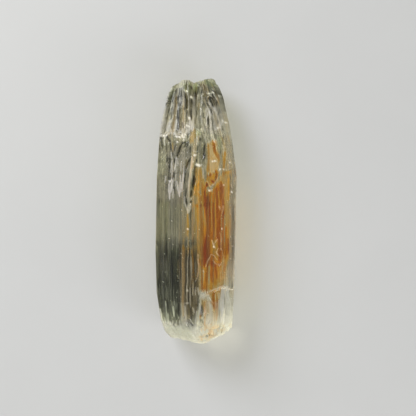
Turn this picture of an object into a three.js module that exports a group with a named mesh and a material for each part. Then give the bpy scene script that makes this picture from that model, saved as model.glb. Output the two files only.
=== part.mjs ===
// A single aquamarine crystal with no matrix, lying on one of its long faces.
//
// Millimetres. X runs across the crystal and Y along it, with the grown tip at +Y and the
// broken foot at -Y. Z is up from the surface that it lies on.
//
// The crystal is one closed skin. Its walls are nine flat bands that run from foot to tip: the
// six faces of a beryl prism, and three narrower ones that bevel its edges. Both ends are height
// maps over the section. Striae, ledges, clefts, a pit and an etched patch are cut into the walls.
import * as THREE from "three";

// ---- Driving dimensions ----
const FOOT_Y = -29.8; // the lowest point of the break
const TIP_Y = 30.2; // the highest lobe of the tip
const RESTING_HALF = 3.5; // half the width of the face that it lies on
const FULL_WIDTH = 17; // where the crystal is narrower than this, the resting face narrows too
const BEVEL_WIDTH = 1.5; // across the narrow face beside the right flank
const CROWN_LEFT = -2.7; // the ribbed crown bevels the prism edge that faces up
const CROWN_RIGHT = 0.8;
const PRISM_SLOPE = Math.tan(THREE.MathUtils.degToRad(30)); // from one prism face to the next
const BEVEL_SLOPE = Math.tan(THREE.MathUtils.degToRad(60));

// The two flanks, the height of the crown and the lift of the underside, at stations along Y.
const STATIONS = [
  { y: -31, left: -5.6, right: 7.8, crown: 13.9, lift: 0 },
  { y: -26, left: -7.5, right: 8.3, crown: 14.3, lift: 0 },
  { y: -18, left: -8.8, right: 8.65, crown: 14.5, lift: 0 },
  { y: -9, left: -9.05, right: 8.85, crown: 14.6, lift: 0 },
  { y: 8, left: -8.75, right: 9.25, crown: 14.6, lift: 0 },
  { y: 19, left: -8.05, right: 7.85, crown: 13.8, lift: 0.4 },
  { y: 26, left: -6.5, right: 6.35, crown: 12.5, lift: 1.4 },
  { y: 31, left: -4.8, right: 4.1, crown: 11.2, lift: 2.4 },
];

// The bands in their order round the section, with the columns of the skin on each, how deep its
// striae are cut, and whether it faces up, where the ledges and clefts are.
const BANDS = [
  { name: "crown", columns: 6, striae: 0.42, facesUp: true },
  { name: "left", columns: 11, striae: 0.34, facesUp: true },
  { name: "left side", columns: 5, striae: 0.16, facesUp: false },
  { name: "left under", columns: 4, striae: 0.34, facesUp: false },
  { name: "resting", columns: 4, striae: 0, facesUp: false },
  { name: "right under", columns: 4, striae: 0.34, facesUp: false },
  { name: "right side", columns: 5, striae: 0.16, facesUp: false },
  { name: "bevel", columns: 3, striae: 0.2, facesUp: true },
  { name: "right", columns: 13, striae: 0.36, facesUp: true },
];
const WALL_ROWS = 66;
const CAP_RINGS = 6;

// ---- Small tools ----
const { clamp, lerp, smoothstep } = THREE.MathUtils;

// Straight lines through a list of [at, value] pairs.
function through(pairs, at) {
  const next = pairs.findIndex(([x]) => x >= at);
  if (next < 0) return pairs[pairs.length - 1][1];
  if (next === 0) return pairs[0][1];
  const [x0, v0] = pairs[next - 1];
  const [x1, v1] = pairs[next];
  return lerp(v0, v1, (at - x0) / (x1 - x0));
}

// A repeatable number from 0 to 1 for a whole number.
function chance(n) {
  const s = Math.sin(n * 12.9898 + 4.1414) * 43758.5453;
  return s - Math.floor(s);
}

// Smooth noise from 0 to 1 along a line.
function noise(at) {
  const cell = Math.floor(at);
  return lerp(chance(cell), chance(cell + 1), smoothstep(at - cell, 0, 1));
}

// Smooth noise from 0 to 1 over a plane.
const ROW_STEP = 57;
function noise2(a, b) {
  const row = Math.floor(b);
  return lerp(noise(a + row * ROW_STEP), noise(a + (row + 1) * ROW_STEP), smoothstep(b - row, 0, 1));
}

// ---- The section ----
function station(name, y) {
  return through(
    STATIONS.map((s) => [s.y, s[name]]),
    y,
  );
}

// The nine corners of the section at y, from the crown anticlockwise as seen from the foot.
function corners(y) {
  const left = station("left", y);
  const right = station("right", y);
  const crown = station("crown", y);
  const lift = station("lift", y);
  const half = RESTING_HALF * Math.min(1, (right - left) / FULL_WIDTH);
  const bevelX = right - BEVEL_WIDTH;
  const bevelZ = crown - (bevelX - CROWN_RIGHT) * PRISM_SLOPE;
  return [
    [CROWN_RIGHT, crown],
    [CROWN_LEFT, crown],
    [left, crown - (CROWN_LEFT - left) * PRISM_SLOPE],
    [left, lift + (-half - left) * PRISM_SLOPE],
    [-half, lift],
    [half, lift],
    [right, lift + (right - half) * PRISM_SLOPE],
    [right, bevelZ - BEVEL_WIDTH * BEVEL_SLOPE],
    [bevelX, bevelZ],
  ];
}

// One entry for each column of the skin: its band, its corner, and how far along the band it is.
const columns = BANDS.flatMap((band, corner) =>
  Array.from({ length: band.columns }, (_, step) => ({ band, corner, along: step / band.columns })),
).map((column, number) => ({ ...column, number }));

// The point and the outward direction of a column at y, before anything is cut into the wall.
function plainWall(column, y) {
  const ring = corners(y);
  const from = ring[column.corner];
  const to = ring[(column.corner + 1) % ring.length];
  const x = lerp(from[0], to[0], column.along);
  const z = lerp(from[1], to[1], column.along);
  const facing = new THREE.Vector2(to[1] - from[1], from[0] - to[0]).normalize();
  return { x, z, facing };
}

// ---- What is cut into the walls, as depths in millimetres ----

// Lengthwise striae: each column sinks by its own amount, which drifts along the crystal. They
// deepen into furrows on the etched head, and fade out over its rim.
const FURROW_GAIN = 2.2;
function striae(column, y) {
  const own = chance(column.number);
  const drift = noise2(column.number * 1.7, y / 9);
  const head = FURROW_GAIN * smoothstep(y, 14, 22) * (1 - 0.8 * smoothstep(y, 26, 29.5));
  return column.band.striae * own * (0.45 + 0.55 * drift + head);
}

// A layer of the upper side ends in a ledge, which peaks at the crown. Above it the skin sinks.
const UPPER_LEDGE = [
  [-9, 17.8],
  [-7.3, 16.9],
  [-5.4, 17.6],
  [-3.4, 16.4],
  [-1.6, 17.5],
  [-0.1, 18.6],
  [1.1, 17.8],
  [1.9, 16.4],
  [2.7, 11.6],
];
const LEDGE_DEPTH = 0.75;
const LEDGE_RUN = 1.2;
function upperLedge(x, y) {
  const edge = through(UPPER_LEDGE, x);
  const faded = 1 - smoothstep(x, 2.4, 5.5) * (1 - smoothstep(y, 14, 20));
  return LEDGE_DEPTH * smoothstep(y, edge, edge + LEDGE_RUN) * faded;
}

// Near the foot, on the right, a second ledge drops to an etched patch.
const LOWER_LEDGE = [
  [-0.6, -30],
  [0.7, -18.6],
  [2.3, -17.8],
  [4.4, -17.3],
  [5.8, -16.6],
  [8.5, -17.0],
];
const PATCH_DEPTH = 0.6;
const PATCH_RUN = 0.9;
function lowerPatch(x, y) {
  const edge = through(LOWER_LEDGE, x);
  const rough = 0.55 + 0.75 * noise2(x * 1.3 + 11, y / 2.6);
  return PATCH_DEPTH * rough * (1 - smoothstep(y, edge - PATCH_RUN, edge)) * smoothstep(x, -0.6, 0.4);
}

// Clefts: narrow gashes along the crystal. Each is at x halfway from its foot to its head.
const CLEFTS = [
  { x: -0.6, lean: 0.18, foot: 1.2, head: 11.0, width: 0.7, depth: 1.2 },
  { x: -3.75, lean: 0.35, foot: 11.8, head: 15.6, width: 0.55, depth: 0.6 },
  { x: -2.25, lean: 0.2, foot: 8.4, head: 12.2, width: 0.55, depth: 0.6 },
  { x: -5.6, lean: 0.05, foot: 6.5, head: 12.5, width: 0.55, depth: 0.6 },
  { x: 1.7, lean: 0.03, foot: 11.5, head: 15.5, width: 0.55, depth: 0.5 },
  { x: -4.0, lean: 0, foot: 18.0, head: 23.2, width: 0.55, depth: 0.7 },
  { x: -2.3, lean: -0.15, foot: 22.6, head: 27.8, width: 0.55, depth: 0.8 },
  { x: -0.9, lean: 0, foot: 20.2, head: 31.0, width: 0.6, depth: 0.9 },
  { x: 2.7, lean: 0.02, foot: 18.8, head: 24.0, width: 0.55, depth: 0.6 },
  { x: 1.6, lean: -0.02, foot: 23.0, head: 29.0, width: 0.6, depth: 0.7 },
];
function clefts(x, y) {
  return CLEFTS.reduce((deepest, cleft) => {
    const middle = (cleft.foot + cleft.head) / 2;
    const reach = (cleft.head - cleft.foot) / 2;
    const off = Math.abs(x - cleft.x - cleft.lean * (y - middle)) / cleft.width;
    const ends = 1 - ((y - middle) / reach) ** 2;
    if (off > 1 || ends < 0) return deepest;
    return Math.max(deepest, cleft.depth * (1 - off) * Math.min(1, 2 * ends));
  }, 0);
}

// One oval pit is etched into the right lobe of the tip.
const PIT = { x: 3.6, y: 24.7, lean: -0.3, halfWidth: 1.2, halfLength: 2.6, depth: 1.0 };
function pit(x, y) {
  const across = (x - PIT.x - PIT.lean * (y - PIT.y)) / PIT.halfWidth;
  const along = (y - PIT.y) / PIT.halfLength;
  return PIT.depth * Math.max(0, 1 - across ** 2 - along ** 2);
}

// How far one column is cut back at y. The face that it lies on stays flat, and edges stay crisp.
const EDGE_SHARE = 0.35;
function cutBack(column, x, y) {
  const isEdge = column.along === 0;
  const meetsResting = isEdge && column.band.name === "right under";
  if (column.band.name === "resting" || meetsResting) return 0;
  const share = isEdge ? EDGE_SHARE : 1;
  if (!column.band.facesUp) return striae(column, y) * share;
  return (striae(column, y) + clefts(x, y)) * share + upperLedge(x, y) + lowerPatch(x, y) + pit(x, y);
}

// ---- The two ends, as heights along Y over the section ----

// The tip: a shoulder, a left lobe, a shallow notch and a right lobe, rounded above and below.
const TIP_OUTLINE = [
  [-6.4, 26.6],
  [-5.6, 28.3],
  [-3.9, 28.9],
  [-3.0, 29.6],
  [-1.6, 29.7],
  [-0.5, 29.1],
  [0.9, 29.6],
  [3.3, TIP_Y],
  [4.1, 30.0],
  [4.9, 28.8],
];
const TIP_FLAT = { low: 5.6, high: 8.2 };
function tipHeight(x, z) {
  const above = Math.max(0, z - TIP_FLAT.high);
  const below = Math.max(0, TIP_FLAT.low - z);
  const bumps = 0.7 * (noise2(x * 0.9 + 3, z * 0.8) - 0.5) * clamp((above + below) / 2, 0, 1);
  return through(TIP_OUTLINE, x) - 0.09 * above ** 2 - 0.07 * below ** 2 + bumps;
}

// The foot: a break whose outline steps across the crystal, and which slopes back above and below.
const FOOT_OUTLINE = [
  [-7.4, -26.6],
  [-6.8, -27.6],
  [-5.9, -28.3],
  [-4.1, -28.6],
  [-2.0, -29.0],
  [-0.7, -29.5],
  [1.6, FOOT_Y],
  [2.7, -29.5],
  [3.4, -28.8],
  [4.8, -28.3],
  [5.9, -27.6],
  [6.8, -26.6],
  [7.7, -26.3],
  [8.2, -25.4],
];
const FOOT_FLAT = { low: 4.8, high: 7.4 };
function footHeight(x, z) {
  const above = Math.max(0, z - FOOT_FLAT.high);
  const below = Math.max(0, FOOT_FLAT.low - z);
  const shells = 0.8 * noise2(x * 0.5 + 20, z * 0.55) * clamp((above + below) / 3, 0, 1);
  return through(FOOT_OUTLINE, x) + 0.09 * above ** 2 + 0.06 * below ** 2 + shells;
}

// ---- The skin ----

// A point of the wall, cut back from its plain place.
function wallPoint(column, y) {
  const { x, z, facing } = plainWall(column, y);
  const depth = cutBack(column, x, y);
  return new THREE.Vector3(x - facing.x * depth, y, z - facing.y * depth);
}

// Where a column meets an end: its height there follows from the section near that end.
const NEAR_FOOT_Y = -28;
const NEAR_TIP_Y = 28;
function rimHeight(column, heightOver, guess) {
  const near = plainWall(column, guess);
  const closer = plainWall(column, heightOver(near.x, near.z));
  return heightOver(closer.x, closer.z);
}

function middleOf(points) {
  return points.reduce((sum, p) => sum.add(p), new THREE.Vector3()).divideScalar(points.length);
}

// Rings from a rim in towards its middle, close together at the rim, which leave the rim's own
// height for the end's.
function capRings(rim, heightOver) {
  const middle = middleOf(rim);
  return Array.from({ length: CAP_RINGS }, (_, ring) => {
    const share = 1 - ((ring + 1) / (CAP_RINGS + 1)) ** 1.5;
    return rim.map((p) => {
      const x = lerp(middle.x, p.x, share);
      const z = lerp(middle.z, p.z, share);
      const blend = smoothstep(1 - share, 0, 0.12);
      return new THREE.Vector3(x, lerp(p.y, heightOver(x, z), blend), z);
    });
  });
}

// All rings, from the foot's middle out to its rim, up the walls, and in to the tip's middle.
function rings() {
  const feet = columns.map((column) => rimHeight(column, footHeight, NEAR_FOOT_Y));
  const tips = columns.map((column) => rimHeight(column, tipHeight, NEAR_TIP_Y));
  const wall = Array.from({ length: WALL_ROWS + 1 }, (_, row) =>
    columns.map((column, i) => wallPoint(column, lerp(feet[i], tips[i], row / WALL_ROWS))),
  );
  return [
    ...capRings(wall[0], footHeight).reverse(),
    ...wall,
    ...capRings(wall[WALL_ROWS], tipHeight),
  ];
}

// Joins the rings into one closed surface, with a fan over each pole, its faces pointing outwards.
function skin() {
  const all = rings();
  const around = columns.length;
  const points = all.flat();
  const pole = (ring, heightOver) => {
    const middle = middleOf(ring);
    return middle.setY(heightOver(middle.x, middle.z));
  };
  const footPole = points.push(pole(all[0], footHeight)) - 1;
  const tipPole = points.push(pole(all[all.length - 1], tipHeight)) - 1;
  const faces = [];
  for (let i = 0; i < around; i += 1) {
    const j = (i + 1) % around;
    faces.push(footPole, i, j);
    for (let ring = 0; ring < all.length - 1; ring += 1) {
      const low = ring * around;
      const high = low + around;
      faces.push(low + i, high + j, low + j, low + i, high + i, high + j);
    }
    const last = (all.length - 1) * around;
    faces.push(tipPole, last + j, last + i);
  }
  const geometry = new THREE.BufferGeometry().setFromPoints(points);
  geometry.setIndex(faces);
  geometry.computeVertexNormals();
  return geometry;
}

const clearBeryl = new THREE.MeshStandardMaterial({
  name: "aquamarine",
  color: new THREE.Color(0.56, 0.56, 0.44),
  roughness: 0.12,
  metalness: 0,
  transparent: true,
  opacity: 0.6,
});

const crystal = new THREE.Mesh(skin(), clearBeryl);
crystal.name = "crystal";

// The origin is moved to lie exactly under the middle of the crystal's box.
const box = new THREE.Box3().setFromObject(crystal);
const middle = box.getCenter(new THREE.Vector3());
crystal.position.set(-middle.x, -middle.y, -box.min.z);

const part = new THREE.Group();
part.add(crystal);

export default part;
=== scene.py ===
"""An etched aquamarine crystal that lies on a pale studio floor, laid out as an add-on.

The crystal is one closed skin, worked out as whole arrays on a grid. It follows the formulas of
the solid that it replaces, at a finer pitch. Its ledges are sharper than the solid's, its head's
furrows are softer, its foot reaches lower on the right, and it adds the small relief that the
solid leaves out.
The skin carries masks for iron stain, frosting with painted highlights, painted shade, greenness, a
painted lilac sheen and painted glints, which its material reads. Shapes are worked out in millimetres and
put into the mesh in metres.
"""

import math

import bpy
import numpy as np
from bpy.props import FloatProperty, FloatVectorProperty, IntProperty, PointerProperty
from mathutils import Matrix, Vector


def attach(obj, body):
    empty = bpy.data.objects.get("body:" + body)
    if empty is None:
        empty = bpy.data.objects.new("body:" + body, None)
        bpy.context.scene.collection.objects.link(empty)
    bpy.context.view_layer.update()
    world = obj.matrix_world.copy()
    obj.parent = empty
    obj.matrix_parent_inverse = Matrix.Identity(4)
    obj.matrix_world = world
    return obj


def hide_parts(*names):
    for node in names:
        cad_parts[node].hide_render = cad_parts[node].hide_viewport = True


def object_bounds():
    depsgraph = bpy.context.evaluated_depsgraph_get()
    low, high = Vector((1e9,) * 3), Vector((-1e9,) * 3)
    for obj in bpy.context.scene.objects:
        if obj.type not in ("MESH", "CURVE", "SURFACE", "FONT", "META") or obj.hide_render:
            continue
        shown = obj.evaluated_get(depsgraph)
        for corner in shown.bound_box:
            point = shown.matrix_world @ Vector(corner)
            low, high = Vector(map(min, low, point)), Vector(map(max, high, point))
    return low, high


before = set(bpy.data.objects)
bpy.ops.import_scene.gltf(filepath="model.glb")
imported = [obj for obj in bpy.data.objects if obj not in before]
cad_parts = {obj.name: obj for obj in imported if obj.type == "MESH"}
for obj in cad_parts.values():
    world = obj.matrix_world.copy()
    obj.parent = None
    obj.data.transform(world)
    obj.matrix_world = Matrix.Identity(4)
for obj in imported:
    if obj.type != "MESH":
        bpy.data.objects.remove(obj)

bl_info = {
    "name": "Aquamarine crystal",
    "version": (1, 0, 0),
    "blender": (4, 5, 0),
    "location": "3D View > Sidebar > Crystal",
    "description": "Builds an etched, iron-stained aquamarine crystal and a pale studio stage",
    "category": "Add Mesh",
}

MM = 0.001  # metres in a millimetre
CAD_LOW, CAD_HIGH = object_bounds()
NODE = "crystal"

# ---- The crystal's sizes, in millimetres, most of them the solid's ----
TIP_Y = 30.2
FOOT_Y = -29.8
RESTING_HALF = 3.5  # half the width of the face that it lies on
FULL_WIDTH = 17.0  # that face narrows where the crystal is narrower than this
BEVEL_WIDTH = 1.5
CROWN_LEFT, CROWN_RIGHT = -2.7, 0.8
PRISM_SLOPE = math.tan(math.radians(30))
BEVEL_SLOPE = math.tan(math.radians(60))

# y, left flank, right flank, height of the crown, lift of the underside
STATIONS = np.array([
    (-31, -5.6, 7.8, 13.9, 0.0),
    (-26, -7.5, 8.3, 14.3, 0.0),
    (-18, -8.8, 8.65, 14.5, 0.0),
    (-9, -9.05, 8.85, 14.6, 0.0),
    (8, -8.75, 9.25, 14.6, 0.0),
    (19, -8.05, 7.85, 13.8, 0.4),
    (26, -6.5, 6.35, 12.5, 1.4),
    (31, -4.8, 4.1, 11.2, 2.4),
])

# The bands in their order round the section: name, columns of the solid, depth of its striae,
# and whether the band faces up.
BANDS = (
    ("crown", 6, 0.42, True),
    ("left", 11, 0.34, True),
    ("left side", 5, 0.16, False),
    ("left under", 4, 0.34, False),
    ("resting", 4, 0.0, False),
    ("right under", 4, 0.34, False),
    ("right side", 5, 0.16, False),
    ("bevel", 3, 0.2, True),
    ("right", 13, 0.36, True),
)
BAND_COLUMNS = np.array([band[1] for band in BANDS])
BAND_STARTS = np.concatenate(([0], np.cumsum(BAND_COLUMNS)[:-1]))
BAND_STRIAE = np.array([band[2] for band in BANDS])
BAND_FACES_UP = np.array([band[3] for band in BANDS])
BAND_NAMES = [band[0] for band in BANDS]
RESTING = BAND_NAMES.index("resting")
COLUMNS = int(BAND_COLUMNS.sum())

# The outlines of the ledges and of the two ends: x, y. The foot's last four points are lower than
# the solid's.
UPPER_LEDGE = np.array([
    (-9, 17.8), (-7.3, 16.9), (-5.4, 17.6), (-3.4, 16.4), (-1.6, 17.5),
    (-0.1, 18.6), (1.1, 17.8), (1.9, 16.4), (2.7, 11.6),
])
LOWER_LEDGE = np.array([
    (-0.6, -30), (0.7, -18.6), (2.3, -17.8), (4.4, -17.3), (5.8, -16.6), (8.5, -17.0),
])
TIP_OUTLINE = np.array([
    (-6.4, 26.6), (-5.6, 28.3), (-3.9, 28.9), (-3.0, 29.6), (-1.6, 29.7),
    (-0.5, 29.1), (0.9, 29.6), (3.3, TIP_Y), (4.1, 30.0), (4.9, 28.8),
])
FOOT_OUTLINE = np.array([
    (-7.4, -26.6), (-6.8, -27.6), (-5.9, -28.3), (-4.1, -28.6), (-2.0, -29.0),
    (-0.7, -29.5), (1.6, FOOT_Y), (2.7, -29.5), (3.4, -28.8), (4.8, -28.3),
    (5.9, -27.8), (6.8, -27.1), (7.7, -26.9), (8.2, -26.2),
])

# Depths that the ledges drop by, and the lengths that they take to do it, shorter than the solid's
UPPER_DROP, UPPER_RUN = 0.75, 0.9
LOWER_DROP, LOWER_RUN = 0.6, 0.7

# The oval pit in the tip's right lobe, whose steps the solid leaves out
PIT_X, PIT_Y = 3.6, 24.7
PIT_HALF_WIDTH, PIT_HALF_LENGTH = 1.2, 2.6
PIT_LEAN = 0.3
PIT_DEPTH, PIT_STEP = 1.0, 0.35

# Heights between which each end stands upright, before it slopes back above and below
TIP_UPRIGHT = (5.6, 8.2)
FOOT_UPRIGHT = (4.8, 7.4)
TIP_INSET = 0.1  # keeps the tip's small steps inside its outline
FOOT_RELIEF = 0.35  # the mean of the foot's ripple and grain, so that they lie about its outline

# Values that the skin's formulas need, not all of them the solid's
EDGE_SHARE = 0.35  # the share of its striae that a column has where two bands meet
HEAD_STARTS = 15.5  # where the furrowed, etched head begins
UPPER_FADE = 1.2  # the stretch of each side over which the look of the upper side fades out
RIM_GUESS = 28.0  # about how far from the middle each end meets the walls
CAP_CROWDING = 1.4  # how strongly the rings of an end crowd towards its rim
CAP_BLEND = 0.12  # the share of an end over which its height takes over from the rim's
END_TURNS = (6.0, 12.0)  # heights between which an end takes on the look of the upper side

# ---- Streaks that run along the crystal: x halfway up, lean, foot, head, half width, amount ----
CLEFTS = (
    (-0.6, 0.18, 1.2, 11.0, 0.7, 1.2),
    (-3.75, 0.35, 11.8, 15.6, 0.55, 0.6),
    (-2.25, 0.2, 8.4, 12.2, 0.55, 0.6),
    (-5.6, 0.05, 6.5, 12.5, 0.55, 0.6),
    (1.7, 0.03, 11.5, 15.5, 0.55, 0.5),
    (-4.0, 0.0, 18.0, 23.2, 0.55, 0.7),
    (-2.3, -0.15, 22.6, 27.8, 0.55, 0.8),
    (-0.9, 0.0, 20.2, 31.0, 0.6, 0.9),
    (2.7, 0.02, 18.8, 24.0, 0.55, 0.6),
    (1.6, -0.02, 23.0, 29.0, 0.6, 0.7),
)
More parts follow.
